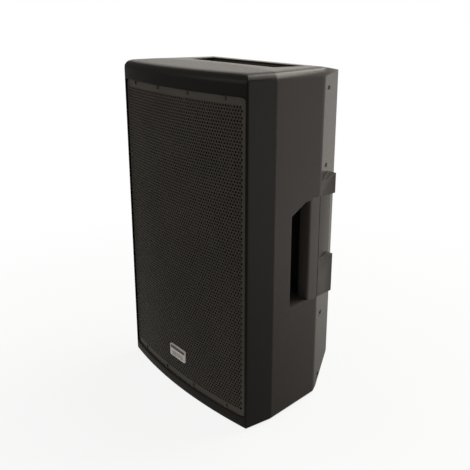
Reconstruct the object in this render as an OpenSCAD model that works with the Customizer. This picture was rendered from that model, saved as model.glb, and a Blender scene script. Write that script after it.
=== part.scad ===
/* [Cabinet] */
// Overall height, with the feet
cab_h = 690; // [640:1:830]
// Overall depth, from the front bulge to the back face
cab_d = 320; // [310:1:390]
// Overall width, measured at the seam between bezel and shell
cab_w = 436; // [430:1:530]
// How far the front bulges ahead of its two corners
front_bulge = 20; // [14:1:26]
// Distance from the front corners back to the seam
bezel_d = 64; // [56:1:76]
// How far the seam bows back across the top
seam_bow = 36; // [24:1:40]
// How far each front corner sits inside the seam
front_tuck = 1; // [0:0.5:6]
// How far each side narrows between the seam and its rear end
side_taper = 27; // [22:1:32]
// How far each rear facet cuts in towards the back face
facet_in = 61; // [50:1:66]
// Distance that each rear facet runs from the side to the back face
facet_run = 97; // [85:1:105]
// Wall thickness of the mouldings
wall = 4; // [3:0.1:5]
// Rounding of the top edges
edge_r = 11; // [6:1:14]
// Rounding of the bottom edges
base_r = 8; // [4:1:10]
// Rounding of the two upright corners of the back face
back_corner_r = 22; // [8:1:30]
// How far the top falls towards the back face
top_fall = 14; // [0:1:24]
// Height of the sloped cut under the back
heel_rise = 57; // [30:1:80]
// How far the rear slopes run forwards from the back face
slope_run = 95; // [70:1:100]

/* [Grille and badge] */
// Height of the hood above the grille
hood_h = 39; // [30:1:50]
// Height of the lip below the grille
lip_h = 26; // [18:1:34]
// How far the grille lies behind the bezel's front
grille_set_back = 4; // [2:0.5:6]
// Thickness of the grille's steel sheet
grille_t = 1.5; // [1:0.1:2]
// Gap round the grille's edge
grille_gap = 1.5; // [0.8:0.1:3]
// Corner radius of the grille
grille_r = 12; // [6:1:20]
// Depth of the grille's folded side edges
grille_fold = 9; // [5:1:12]
// Spacing of the grille screws
grille_screw_pitch = 106; // [90:1:120]
// Width of the badge
badge_w = 58; // [40:1:70]
// Height of the badge
badge_h = 27; // [18:1:32]
// Height of the badge's centre above the floor
badge_z = 88; // [70:1:110]

/* [Woofer] */
// Outer diameter of the woofer's frame
woofer_d = 386; // [320:1:392]
// Height of the woofer's centre above the floor
woofer_z = 245; // [232:1:260]
// Width of the rolled surround between cone and frame
surround_w = 17; // [12:1:20]
// Diameter of the voice coil's former
coil_d = 76; // [64:1:80]
// Diameter of the dust cap
dust_cap_d = 120; // [100:1:140]
// Outer diameter of the magnet
magnet_d = 176; // [150:1:190]
// Thickness of the magnet
magnet_t = 20; // [16:1:26]
// Travel of the cone each way
cone_travel = 6; // [3:0.5:7]

/* [Horn and high-frequency driver] */
// Width of the horn's mouth
horn_w = 300; // [240:1:320]
// Height of the horn's mouth
horn_h = 150; // [120:1:160]
// Distance from the top of the cabinet down to the horn's centre
horn_drop = 142; // [136:1:160]
// Length of the horn, from mouth to throat
horn_l = 112; // [90:1:125]
// Throat diameter
throat_d = 25.4; // [20:0.1:36]
// Outer diameter of the driver's magnet
hf_magnet_d = 96; // [80:1:104]

/* [Ports] */
// Inner diameter of each port tube
port_d = 60; // [46:1:66]
// Length of each port tube
port_l = 118; // [80:1:135]

/* [Handles] */
// Lowest point of each side handle's opening
grip_z0 = 228; // [200:1:240]
// Height of each side handle's opening
grip_h = 215; // [178:1:260]
// Length of the finger opening along the side
grip_open = 59; // [48:1:64]
// Width of the upright grip bar
bar_w = 32; // [26:1:38]
// Thickness of the upright grip bar
bar_t = 28; // [22:1:32]
// Depth of the handle cup below the side
cup_depth = 70; // [62:1:74]
// Height of the palm rest between the ears
hand_h = 130; // [110:1:150]
// How far the corner block runs back past the side
ear_run = 50; // [30:1:54]
// Height of the corner block above the opening
ear_top = 38; // [20:1:44]
// How far the palm rest behind the bar stands out, as a share of the ears
rest_share = 0.4; // [0:0.05:0.8]
// Width of the top handle's opening
top_grip_w = 280; // [220:1:284]
// Length of the top handle's opening
top_grip_l = 65; // [55:1:70]
// Depth of the top handle's cup
top_cup_h = 60; // [50:1:64]

/* [Pole cup and feet] */
// Bore of the pole cup, for a 35 mm speaker stand
pole_bore_d = 36; // [30:0.1:44]
// Depth of the pole cup's bore
pole_bore_l = 80; // [60:1:90]
// Diameter of each rubber foot
foot_d = 24; // [16:1:30]
// Height that the feet lift the cabinet
foot_h = 3; // [2:0.5:6]

/* [Amplifier panel] */
// Width of the amplifier's panel
panel_w = 196; // [190:1:200]
// Height of the amplifier's panel
panel_h = 400; // [390:1:410]
// Height of the panel's lower edge above the floor
panel_z0 = 140; // [120:1:150]
// Thickness of the panel
panel_t = 3; // [2:0.5:4]
// How far the panel lies below the back face
panel_sink = 14; // [13:0.5:18]
// Diameter of each control knob
knob_d = 16; // [12:1:20]
// Length of each control knob
knob_l = 10; // [8:0.5:11]
// Travel of the push button
button_travel = 2; // [1:0.5:3]

/* [Hidden] */
$fn = 64;
// Fineness of the large front arcs
arc_fn = 256;

// Smallest overlap that keeps a cut from leaving a skin
cut = 1;
// Clearance between pieces that are assembled by hand
fit = 0.3;
// Running clearance of small moving pieces
slip = 0.25;

// ---- plan of the cabinet; y = 0 joins the two front corners ----
y_shift = front_bulge - cab_d / 2;
front_x = cab_w / 2 - front_tuck;
seam_x = cab_w / 2;
side_x = seam_x - side_taper;
back_x = side_x - facet_in;
back_y = cab_d - front_bulge;
side_y = back_y - facet_run;
base_z = foot_h;
front_r = (front_x * front_x + front_bulge * front_bulge) / (2 * front_bulge);
front_axis_y = front_r - front_bulge;
slope_y = back_y - slope_run;
bow_x = seam_x - 8;
bow_r = (bow_x * bow_x + seam_bow * seam_bow) / (2 * seam_bow);

// ---- baffle ----
baffle_y = 18;
baffle_t = 6;
baffle_back = baffle_y + baffle_t;
pocket_x = front_x - wall - 0.5;
pocket_z0 = lip_h;
pocket_z1 = cab_h - hood_h;
ledge_h = 15;

// ---- grille ----
grille_front_r = front_r - grille_set_back;
grille_back_r = grille_front_r - grille_t;
grille_x = pocket_x - grille_gap;
grille_z0 = pocket_z0 + grille_gap;
grille_z1 = pocket_z1 - grille_gap;
ledge_x = grille_x - grille_t - fit;
grille_screw_x = [-1.5, -0.5, 0.5, 1.5] * grille_screw_pitch;
grille_screw_rows = [pocket_z0 + 7, pocket_z1 - 6];

// ---- screws that hold the shell to the bezel ----
boss_r = 9;
boss_bore_r = 2.5;
boss_share = 0.28;
boss_x = side_x - facet_in * boss_share;
boss_y = side_y + facet_run * boss_share;
boss_rows = [base_z + 28, grip_z0 - 50, grip_z0 + grip_h + ear_top + 16, cab_h - 42];
well_r = 6;
well_depth = 14;

// ---- woofer, along the y axis ----
frame_r = woofer_d / 2;
frame_t = 4;
frame_y = baffle_y - frame_t;
basket_r = frame_r - 17;
woofer_hole_r = basket_r + 2;
roll_out_r = frame_r - 20;
cone_r = roll_out_r - surround_w;
coil_r = coil_d / 2;
cone_deep = 66;
cone_y = frame_y;
neck_y = cone_y + cone_deep;
seat_y = neck_y + 32;
seat_t = 6;
plate_y = seat_y + seat_t;
plate_t = 8;
magnet_y = plate_y + plate_t;
yoke_y = magnet_y + magnet_t;
yoke_t = 8;
magnet_r = magnet_d / 2;
top_plate_r = magnet_r - 12;
basket_foot_r = top_plate_r + 17;
gap_in = 1.4;
spider_y = neck_y + 16;
spider_r = basket_foot_r - 7;
woofer_screw_r = frame_r - 7.5;
screw_count = 8;

// ---- horn and driver ----
horn_z = cab_h - horn_drop;
horn_flange_t = 5;
horn_flange = 12;
horn_y = baffle_y - horn_flange_t;
throat_y = horn_y + horn_l;
horn_wall = 3;
horn_sides = 32;
horn_steps = 8;
hf_plate_t = 8;
hf_magnet_t = 20;
hf_cover_t = 22;
hf_plate_y = throat_y;
hf_magnet_y = hf_plate_y + hf_plate_t;
hf_cover_y = hf_magnet_y + hf_magnet_t;
hf_r = hf_magnet_d / 2;
hf_bolt_r = 38;

// ---- ports ----
port_wall = 3;
port_r = port_d / 2;
port_end_y = baffle_y + port_l;
port_x = seam_x - side_taper * (port_end_y - bezel_d) / (side_y - bezel_d) - wall - port_r - port_wall - 2;
port_z = pocket_z0 + port_r + port_wall + 22;

// ---- side handles, in a frame that runs s along the side and d into the cabinet ----
seam_pt = [seam_x, bezel_d];
side_pt = [side_x, side_y];
side_len = norm(side_pt - seam_pt);
along = (side_pt - seam_pt) / side_len;
inward = [-along[1], along[0]];
grip_z1 = grip_z0 + grip_h;
bar_s0 = side_len - bar_w;
open_s0 = bar_s0 - grip_open;
hand_z1 = grip_z1 - 3;
hand_z0 = hand_z1 - hand_h;
cup_t = 3;

// ---- top handle ----
top_grip_y1 = slope_y - 19;
top_grip_y0 = top_grip_y1 - top_grip_l;
top_grip_flare = 12;
top_under = 40;
top_bar_l = 20;
top_bar_h = 24;
rib_count = 19;

// ---- pole cup, feet and wadding ----
pole_y = bezel_d + 50;
pole_wall = 4;
pole_flange_r = 40;
pole_screw_r = 31;
pole_flange_t = 4;
foot_spots = [[front_x - 52, 24], [side_x - 40, slope_y - 18]];

// ---- amplifier panel, seen on the back face ----
panel_y = back_y - panel_sink;
panel_z1 = panel_z0 + panel_h;
panel_ledge = 10;
row_inputs = panel_z0 + 246;
row_levels = panel_z0 + 190;
row_tone = panel_z0 + 140;
row_mains = panel_z0 + 48;
col_1 = -58;
col_2 = -8;
col_3 = 46;
shaft_r = 3;
sink_z0 = panel_z0 + 284;
sink_h = 100;
sink_w = 160;
amp_depth = 68;

// ==== helpers ====
function unit(v) = v / norm(v);
function left_of(a, b) = let (d = unit(b - a)) [-d[1], d[0]];
function inset_point(p, q, r, t) =
    let (n0 = left_of(p, q), n1 = left_of(q, r)) q + t * (n0 + n1) / (1 + n0 * n1);
function inset_outline(pts, t) =
    let (n = len(pts)) [for (i = [0:n - 1]) inset_point(pts[(i + n - 1) % n], pts[i], pts[(i + 1) % n], t)];
// An arc of the given radius that replaces corner q between p and s
function soft_corner(p, q, s, r, steps = 5) =
    let (
        u = unit(p - q),
        v = unit(s - q),
        half = acos(u * v) / 2,
        c = q + unit(u + v) * r / sin(half),
        a = q + u * r / tan(half) - c,
        b = q + v * r / tan(half) - c
    ) [for (i = [0:steps]) c + r * unit(a * (1 - i / steps) + b * i / steps)];
// Half-angle of the front arc
front_half = asin(front_x / front_r);
arc_steps = 24;
// Outline of the cabinet seen from above, from the left front corner round by the right
right_side = concat([seam_pt, side_pt], soft_corner(side_pt, [back_x, back_y], [-back_x, back_y], back_corner_r));
outline = concat(
    [for (i = [0:arc_steps]) let (a = front_half * (2 * i / arc_steps - 1))
        [front_r * sin(a), front_axis_y - front_r * cos(a)]],
    right_side,
    [for (i = [len(right_side) - 1:-1:0]) [-right_side[i][0], right_side[i][1]]]
);
// Pairs of height and inset that round the top and bottom edges
edge_steps = 3;
function edge_profile(t) = concat(
    [for (i = [0:edge_steps]) let (a = 90 - 90 * i / edge_steps)
        [base_z + t + base_r * (1 - sin(a)), t + base_r * (1 - cos(a))]],
    [for (i = [0:edge_steps]) let (a = 90 * i / edge_steps)
        [cab_h - t - edge_r * (1 - sin(a)), t + edge_r * (1 - cos(a))]]
);

// A closed solid through rings of points, each ring running anticlockwise about the way the rings advance
module loft(rings) {
    n = len(rings[0]);
    last = len(rings) - 1;
    pts = [for (ring = rings) for (q = ring) q];
    walls = [for (k = [0:last - 1]) for (i = [0:n - 1]) let (j = (i + 1) % n)
        [k * n + i, (k + 1) * n + i, (k + 1) * n + j, k * n + j]];
    caps = [[for (i = [0:n - 1]) i], [for (i = [n - 1:-1:0]) last * n + i]];
    polyhedron(points = pts, faces = concat(walls, caps), convexity = 8);
}

// The cabinet's outer form, or its inner one when inset by t
module cabinet_form(t = 0) {
    intersection() {
        loft([for (p = edge_profile(t)) [for (q = inset_outline(outline, p[1])) [q[0], q[1], p[0]]]]);
        side_profile(t);
    }
}

// Side view of the form: flat base and top, with a slope under and over the back
module side_profile(t) {
    under = unit([slope_run, heel_rise]);
    over = unit([slope_run, -top_fall]);
    lo = t * (1 - under[0]) / under[1];
    rotate([90, 0, 90])
        linear_extrude(cab_w + 2 * cut, center = true)
            polygon([
                [-front_bulge - cut, base_z + t],
                [slope_y - lo, base_z + t],
                [back_y + slope_run, base_z + t + (2 * slope_run + lo) * heel_rise / slope_run],
                [back_y + slope_run, cab_h - t - 2 * top_fall],
                [slope_y, cab_h - t],
                [-front_bulge - cut, cab_h - t]
            ]);
}

// A box given by its low and high corners
module block(a, b) {
    translate(a) cube(b - a);
}

// The part of the space that the front moulding takes, grown backwards by g
module front_space(g = 0) {
    block([-cab_w, -cab_d, 0], [cab_w, bezel_d + g, cab_h]);
    intersection() {
        translate([0, bezel_d + seam_bow - bow_r, cab_h - 2 * wall]) cylinder(r = bow_r + g, h = 2 * wall, $fn = arc_fn);
        block([-bow_x, bezel_d - cut, 0], [bow_x, cab_d, cab_h]);
    }
}

// Puts children into the row's frame
module placed() {
    translate([0, y_shift, 0]) children();
}

// Turns children so that their z axis points to the back, at x and z
module facing_back(x, z) {
    translate([x, 0, z]) rotate([-90, 0, 0]) children();
}

// A tube or disc along y, from y0 to y1
module disc(r, y0, y1, hole = 0) {
    translate([0, 0, y0]) difference() {
        cylinder(r = r, h = y1 - y0);
        if (hole > 0) translate([0, 0, -cut]) cylinder(r = hole, h = y1 - y0 + 2 * cut);
    }
}

// A rectangle with rounded corners, made of true circles
module round_rect(w, h, r) {
    square([w - 2 * r, h], center = true);
    square([w, h - 2 * r], center = true);
    for (x = [-1, 1], y = [-1, 1]) translate([x * (w / 2 - r), y * (h / 2 - r)]) circle(r);
}

// A rounded plate that faces the back, from y0 to y1
module back_plate(w, h, r, y0, y1) {
    translate([0, 0, y0]) linear_extrude(y1 - y0) round_rect(w, h, r);
}

// Both sides of a symmetrical pair
module both_sides() {
    for (s = [0, 1]) mirror([s, 0, 0]) children();
}

// Children at each boss that joins shell and bezel
module at_bosses() {
    both_sides() for (z = boss_rows) facing_back(boss_x, z) children();
}

// A pan-head screw that points along +z, with its head's top at 0
module screw(head_r, head_h, shank_r, length) {
    difference() {
        union() {
            cylinder(r = head_r, h = head_h);
            translate([0, 0, head_h]) cylinder(r = shank_r, h = length);
        }
        for (a = [0, 90]) rotate([0, 0, a]) cube([head_r * 1.2, head_r * 0.3, head_h], center = true);
    }
}

// ==== handles: shared outlines ====
// A point s along the side from the seam and d into the cabinet
function at_side(s, d) = seam_pt + along * s + inward * d;
function side_outline(pts) = [for (p = pts) at_side(p[0], p[1])];
ear_pt = at_side(side_len + ear_run, 0);
facet_dir = unit([-facet_in, facet_run]);
ear_back_t = (ear_pt[1] - side_y) / facet_dir[1];
ear_in_pt = side_pt + facet_dir * ear_back_t;
rest_pt = ear_in_pt + (ear_pt - ear_in_pt) * rest_share;
ear_clear = 2;
bar_room = 3;
// Inner wall of the handle cup, from the finger opening round to the rear facet
cup_line = [
    [open_s0, wall],
    [open_s0 + 3, cup_depth * 0.42],
    [open_s0 + 12, cup_depth * 0.68],
    [open_s0 + 28, cup_depth * 0.88],
    [open_s0 + 56, cup_depth],
    [side_len + 14, cup_depth],
    [side_len + 36, cup_depth * 0.82]
];
// Where the cup meets the inside of the rear facet
facet_inside = [for (t = [0, ear_back_t]) side_pt + facet_dir * t + left_of(side_pt, side_pt + facet_dir) * wall];
cup_inner = concat(
    [at_side(open_s0, wall - cut)],
    side_outline(cup_line),
    [facet_inside[1], facet_inside[0] + along * -2, at_side(side_len - 4, wall - cut)]
);
cup_outer = concat(
    [at_side(open_s0 - 8, wall)],
    side_outline([for (p = cup_line) [p[0] + (p[0] < open_s0 + 20 ? -cup_t : 0), max(wall, p[1] + cup_t)]]),
    [facet_inside[1] + facet_dir * 9, facet_inside[1], facet_inside[0] + along * -2, at_side(side_len - 4, wall)]
);

// The block that carries the side plane back over the rear facet
module ear_block() {
    translate([0, 0, grip_z0])
        linear_extrude(grip_h + ear_top)
            polygon([side_pt + along * -1 + inward * 1, ear_pt, ear_in_pt, ear_in_pt + inward * 2,
                side_pt + inward * 2]);
}

// The sloped top of the block, cut away
module ear_top_cut() {
    rise = 14;
    z1 = grip_z1 + ear_top;
    translate([0, side_y, z1])
        rotate([90, 0, 90])
            linear_extrude(seam_x)
                polygon([[-30, -rise], [0, -rise], [ear_run, 0], [ear_run + 10, 0], [ear_run + 10, 40], [-30, 40]]);
}

// Everything that the hand passes through, cut out of the shell
module grip_cut() {
    // finger opening in the side, with its slanted upper front corner
    tip = 20;
    span = [open_s0, bar_s0 + 1];
    window = [[span[0], grip_z0 + 3], [span[1], grip_z0 + 3], [span[1], grip_z1 - 3],
        [span[1] - 16, grip_z1 - 3], [span[0], grip_z1 - 3 - tip]];
    multmatrix([
        [along[0], 0, inward[0], seam_pt[0]],
        [along[1], 0, inward[1], seam_pt[1]],
        [0, 1, 0, 0],
        [0, 0, 0, 1]
    ])
        translate([0, 0, -cut]) linear_extrude(wall + 2 * cut) polygon(window);
    // room for the bar at the corner
    translate([0, 0, grip_z0])
        linear_extrude(grip_h)
            polygon(side_outline([[bar_s0 - fit, -cut], [side_len + fit, -cut], [side_len + fit, wall + bar_room],
                [bar_s0 - fit, wall + bar_room]]));
    // the rest behind the bar, lower than the ears above and below it
    translate([0, 0, hand_z0])
        linear_extrude(hand_h)
            polygon([side_pt, rest_pt, rest_pt + [0, ear_clear], [ear_pt[0] + 3 * ear_clear, ear_pt[1] + ear_clear],
                at_side(side_len, -ear_clear)]);
}

// Cup and upright bar of the right-hand handle
module side_handle() {
    z0 = grip_z0 + fit;
    z1 = grip_z1 - fit;
    bar_soft = 5;
    difference() {
        translate([0, 0, z0]) linear_extrude(z1 - z0) polygon(cup_outer);
        translate([0, 0, z0 + cup_t]) linear_extrude(z1 - z0 - 2 * cup_t) polygon(cup_inner);
    }
    translate([0, 0, z0])
        linear_extrude(z1 - z0)
            polygon(side_outline([
                [bar_s0 + bar_soft * 0.3, bar_soft * 0.3], [bar_s0 + bar_soft, 0],
                [side_len - 1.5, 0], [side_len, 1.5],
                [side_len, bar_t - bar_soft], [side_len - bar_soft * 0.3, bar_t - bar_soft * 0.3],
                [side_len - bar_soft, bar_t], [bar_s0 + bar_soft, bar_t],
                [bar_s0 + bar_soft * 0.3, bar_t - bar_soft * 0.3], [bar_s0, bar_t - bar_soft],
                [bar_s0, bar_soft]
            ]));
}

// ==== cabinet ====
module front_bezel() {
    color("#24252a") placed() difference() {
        union() {
            difference() {
                intersection() {
                    cabinet_form();
                    front_space();
                }
                bezel_hollow();
                pocket();
            }
            grille_ledges();
            at_bosses() disc(boss_r, baffle_back - cut, bezel_d);
        }
        facing_back(0, woofer_z) disc(woofer_hole_r, baffle_y - cut, baffle_back + cut);
        facing_back(0, horn_z) linear_extrude(baffle_back + cut) round_rect(horn_w - 8, horn_h - 8, 8);
        both_sides() facing_back(port_x, port_z) disc(port_r + port_wall + fit, baffle_y - cut, baffle_back + cut);
        at_bosses() disc(boss_bore_r, baffle_back + 6, bezel_d + cut);
        grille_screw_spots() disc(1.6, 0, baffle_y - 3);
        facing_back(0, woofer_z) woofer_screw_spots() disc(2.3, baffle_y - cut, baffle_back + cut);
        facing_back(0, horn_z) horn_screw_spots() disc(2, baffle_y - cut, baffle_back + cut);
    }
}

// The space in front of the baffle that takes the grille
module pocket() {
    block([-pocket_x, -cab_d, pocket_z0], [pocket_x, baffle_y, pocket_z1]);
}

// The hollow behind the baffle and inside the hood and the lip
module bezel_hollow() {
    difference() {
        intersection() {
            cabinet_form(wall);
            block([-cab_w, -cab_d, 0], [cab_w, bezel_d + seam_bow + cut, cab_h]);
        }
        block([-cab_w, -cab_d, pocket_z0 - wall], [cab_w, baffle_back, pocket_z1 + wall]);
    }
}

// Ledges that the grille's top and bottom edges are screwed to
module grille_ledges() {
    for (z = [pocket_z0, pocket_z1 - ledge_h])
        intersection() {
            translate([0, front_axis_y, z]) cylinder(r = grille_back_r - fit, h = ledge_h, $fn = arc_fn);
            block([-ledge_x, -front_bulge, z], [ledge_x, baffle_y + cut, z + ledge_h]);
        }
}

// Places children square to the grille's surface, at each grille screw
module grille_screw_spots() {
    for (x = grille_screw_x, z = grille_screw_rows)
        translate([0, front_axis_y, 0]) rotate([0, 0, asin(x / grille_front_r)])
            translate([0, -grille_front_r, 0]) facing_back(0, z) children();
}

module rear_shell() {
    color("#2c2b2b") placed() difference() {
        union() {
            difference() {
                union() {
                    difference() {
                        cabinet_form();
                        front_space();
                    }
                    both_sides() difference() {
                        ear_block();
                        ear_top_cut();
                    }
                }
                intersection() {
                    cabinet_form(wall);
                    block([-cab_w, bezel_d - cut, 0], [cab_w, cab_d, cab_h]);
                }
            }
            shell_bosses();
            panel_frame();
        }
        both_sides() grip_cut();
        top_grip_cut();
        shell_drilling();
        translate([0, pole_y, base_z - cut]) cylinder(r = pole_bore_d / 2 + pole_wall + fit, h = wall + 2 * cut);
        facing_back(0, (panel_z0 + panel_z1) / 2) {
            back_plate(panel_w + 2, panel_h + 2, 8, panel_y - panel_t, back_y + cut);
            back_plate(panel_w - 2 * panel_ledge, panel_h - 2 * panel_ledge, 4, panel_y - 20, back_y);
        }
    }
}

// Pillars that carry the long screws through the shell
module shell_bosses() {
    intersection() {
        cabinet_form();
        at_bosses() disc(boss_r, bezel_d, back_y);
    }
}

// Screw wells in the facets and the holes through the pillars
module shell_drilling() {
    at_bosses() {
        disc(boss_bore_r + fit, bezel_d - cut, back_y);
        disc(well_r, boss_y - well_depth, back_y + cut);
    }
    panel_screw_spots() disc(1.7, panel_y - panel_t - wall - cut, panel_y);
    pole_screw_spots() translate([0, 0, base_z + 1.5]) cylinder(r = 2, h = wall);
}

// Frame behind the back wall that the amplifier's panel is screwed to
module panel_frame() {
    facing_back(0, (panel_z0 + panel_z1) / 2) difference() {
        back_plate(panel_w + 10, panel_h + 10, 10, panel_y - panel_t - wall, back_y - wall + cut);
        back_plate(panel_w - 2 * panel_ledge, panel_h - 2 * panel_ledge, 4, panel_y - 20, back_y);
    }
}

module top_grip_cut() {
    half = top_grip_w / 2;
    translate([0, 0, cab_h - wall - cut])
        linear_extrude(wall + 2 * cut)
            polygon([
                [-half, top_grip_y0], [half, top_grip_y0],
                [half + top_grip_flare, top_grip_y1], [-half - top_grip_flare, top_grip_y1]
            ]);
}

// Perforated steel sheet with folded side edges
module grille() {
    mid_z = (grille_z0 + grille_z1) / 2;
    fold_y = grille_fold + grille_set_back;
    color("#303130") placed() intersection() {
        union() {
            difference() {
                translate([0, front_axis_y, grille_z0])
                    cylinder(r = grille_front_r, h = grille_z1 - grille_z0, $fn = arc_fn);
                translate([0, front_axis_y, grille_z0 - cut])
                    cylinder(r = grille_back_r, h = grille_z1 - grille_z0 + 2 * cut, $fn = arc_fn);
                block([-cab_w, fold_y, 0], [cab_w, front_r * 3, cab_h]);
                grille_screw_spots() disc(2, -3, 8);
            }
            both_sides() block([grille_x - grille_t, 4, grille_z0], [grille_x, fold_y, grille_z1]);
        }
        facing_back(0, mid_z)
            translate([0, 0, -front_bulge - cut])
                linear_extrude(cab_d) round_rect(2 * grille_x, grille_z1 - grille_z0, grille_r);
    }
}

// Plain raised plate with a recessed band, left blank
module badge() {
    deep = 3;
    back = front_bulge - grille_set_back;
    front = back + deep;
    color("silver") placed() difference() {
        facing_back(0, badge_z) back_plate(badge_w, badge_h, 3, -front, -back);
        facing_back(0, badge_z + badge_h * 0.28)
            back_plate(badge_w - 6, badge_h * 0.22, 1.5, -front - cut, -front + 0.6);
    }
}

module grille_screws() {
    color("#1a1a1a") placed() grille_screw_spots() translate([0, 0, -2]) screw(3.6, 1.9, 1.5, 12);
}

module cabinet_screws() {
    reach = boss_y - well_depth - baffle_back - 10;
    color("#3a3a3c") placed() at_bosses()
        translate([0, 0, boss_y - well_depth]) mirror([0, 0, 1]) translate([0, 0, -3]) screw(4.8, 3, 2.3, reach);
}

module side_handle_right() {
    color("#2c2b2b") placed() side_handle();
}

module side_handle_left() {
    color("#2c2b2b") placed() mirror([1, 0, 0]) side_handle();
}

// Ribbed cup and bar under the top of the shell
module top_handle() {
    half = top_grip_w / 2 + top_grip_flare;
    roof = cab_h - wall - fit / 3;
    y_end = top_grip_y1 + top_under;
    floor_z = roof - top_cup_h;
    color("#27272a") placed() difference() {
        union() {
            difference() {
                block([-half - cup_t, top_grip_y0 - cup_t, floor_z - cup_t], [half + cup_t, y_end + cup_t, roof]);
                block([-half, top_grip_y0, floor_z], [half, y_end, roof + cut]);
            }
            block([-half - cut, top_grip_y1, roof - top_bar_h], [half + cut, top_grip_y1 + top_bar_l, roof]);
            for (i = [0:rib_count - 1])
                translate([(i / (rib_count - 1) - 0.5) * (top_grip_w - 40), top_grip_y1 - 2.5, roof - top_bar_h])
                    cube([5, 3, top_bar_h - 3]);
            for (i = [0:rib_count - 1])
                translate([(i / (rib_count - 1) - 0.5) * (top_grip_w - 40), y_end - 3, floor_z])
                    cube([5, 4, top_cup_h * 0.5]);
        }
        // follows the fall of the top behind its straight part
        translate([0, slope_y, roof]) rotate([-atan(top_fall / slope_run), 0, 0])
            translate([-cab_w / 2, 0, 0]) cube([cab_w, cab_d, top_cup_h]);
    }
}

module pole_cup() {
    r = pole_bore_d / 2;
    floor_in = base_z + wall;
    color("#222226") placed() difference() {
        translate([0, pole_y, 0]) {
            translate([0, 0, base_z]) cylinder(r = r + pole_wall, h = pole_bore_l + pole_wall);
            translate([0, 0, floor_in]) cylinder(r = pole_flange_r, h = pole_flange_t);
            for (a = [0:90:270]) rotate([0, 0, a + 45]) translate([r + pole_wall - 1, -1.5, floor_in + 3])
                cube([8, 3, pole_bore_l * 0.4]);
        }
        translate([0, pole_y, base_z - cut]) cylinder(r = r, h = pole_bore_l + cut);
        pole_screw_spots() translate([0, 0, floor_in - cut]) cylinder(r = 2.2, h = 8);
    }
}

module pole_screw_spots() {
    translate([0, pole_y, 0]) for (a = [0:90:270]) rotate([0, 0, a]) translate([pole_screw_r, 0, 0]) children();
}

module pole_cup_screws() {
    color("#3a3a3c") placed() pole_screw_spots()
        translate([0, 0, base_z + wall + pole_flange_t + 2.4]) mirror([0, 0, 1]) screw(4, 2.4, 1.9, 6);
}

module rubber_feet() {
    color("#141414") placed() both_sides() for (p = foot_spots) translate([p[0], p[1], 0]) {
        cylinder(r1 = foot_d / 2 - 1, r2 = foot_d / 2, h = foot_h);
    }
}

module port_tubes() {
    color("#1c1c1e") placed() both_sides() facing_back(port_x, port_z) {
        disc(port_r + port_wall, baffle_y, port_end_y, port_r);
        disc(port_r + port_wall + 5, baffle_y - 3, baffle_y, port_r);
        disc(port_r + port_wall + 4, baffle_back, baffle_back + 3, port_r + cut);
    }
}

// Soft lining behind the top of the shell
module damping_wadding() {
    thick = 24;
    half = seam_x - side_taper / 2 - 50;
    z1 = cab_h - wall - top_cup_h - cup_t - fit - 4;
    color("#d8d6cc") placed()
        block([-half * 0.62, back_y - wall - 0.3 - thick, panel_z1 + 12], [half * 0.62, back_y - wall - 0.3, z1]);
}

// ==== woofer ====
module on_woofer() {
    placed() facing_back(0, woofer_z) children();
}

module woofer_screw_spots() {
    for (i = [0:screw_count - 1]) rotate([0, 0, (i + 0.5) * 360 / screw_count])
        translate([woofer_screw_r, 0, 0]) children();
}

// Pressed steel basket with windows between its spokes
module woofer_basket() {
    color("#1d1d1f") on_woofer() difference() {
        rotate_extrude($fn = 96) polygon([
            [roll_out_r, frame_y], [frame_r, frame_y], [frame_r, baffle_y], [basket_r, baffle_y],
            [basket_r - 1, baffle_y + 12], [basket_foot_r, seat_y - 6], [basket_foot_r, plate_y],
            [coil_r + 20, plate_y], [coil_r + 20, seat_y], [basket_foot_r - 3, seat_y],
            [basket_foot_r - 3, spider_y + 3], [spider_r - 5, spider_y + 3], [spider_r - 5, spider_y + 1],
            [basket_foot_r - 1, spider_y + 1], [basket_r - 5, baffle_y + 12], [basket_r - 5, frame_y + 4],
            [roll_out_r, frame_y + 4]
        ]);
        for (i = [0:screw_count - 1]) rotate([0, 0, i * 360 / screw_count])
            translate([0, 0, baffle_y + 18]) linear_extrude(spider_y - baffle_y - 24)
                polygon([[spider_r, -26], [frame_r, -50], [frame_r, 50], [spider_r, 26]]);
        woofer_screw_spots() disc(2.6, frame_y - cut, baffle_y + cut);
    }
}

module woofer_gasket() {
    color("#101010") on_woofer() difference() {
        disc(frame_r - 1, frame_y - 3, frame_y, roll_out_r + 6);
        woofer_screw_spots() disc(2.6, frame_y - 4, frame_y + cut);
    }
}

// Half-roll of treated cloth between cone and frame
module woofer_surround() {
    thick = 1.2;
    mid = (cone_r + roll_out_r) / 2;
    roll = (roll_out_r - cone_r) / 2;
    color("#18181a") on_woofer() {
        rotate_extrude($fn = 96) intersection() {
            translate([mid, frame_y]) difference() {
                circle(roll);
                circle(roll - thick);
            }
            translate([0, frame_y - roll - cut]) square([frame_r, roll + cut]);
        }
        disc(roll_out_r + 5.5, frame_y - thick, frame_y, roll_out_r - thick);
        disc(cone_r + thick, frame_y - thick, frame_y, cone_r - 6);
    }
}

module woofer_cone() {
    paper = 1.6;
    color("#1b1b1c") on_woofer() rotate_extrude($fn = 96) polygon([
        [cone_r - 6, cone_y], [cone_r, cone_y], [cone_r, cone_y + paper], [cone_r - 5, cone_y + paper],
        [coil_r + 2.6, neck_y], [coil_r + 0.3, neck_y], [coil_r + 0.3, neck_y - 2.6]
    ]);
}

module woofer_dust_cap() {
    share = (dust_cap_d / 2 - coil_r) / (cone_r - 6 - coil_r);
    rim_y = neck_y - 2.6 - share * (cone_deep - 2.6) - 0.15;
    rise = 17;
    half = dust_cap_d / 2;
    ball = (half * half + rise * rise) / (2 * rise);
    color("#202022") on_woofer() intersection() {
        translate([0, 0, rim_y - rise + ball]) difference() {
            sphere(r = ball, $fn = 128);
            sphere(r = ball - 1, $fn = 128);
        }
        disc(half - 0.1, rim_y - rise - cut, rim_y - 0.1);
    }
}

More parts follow.
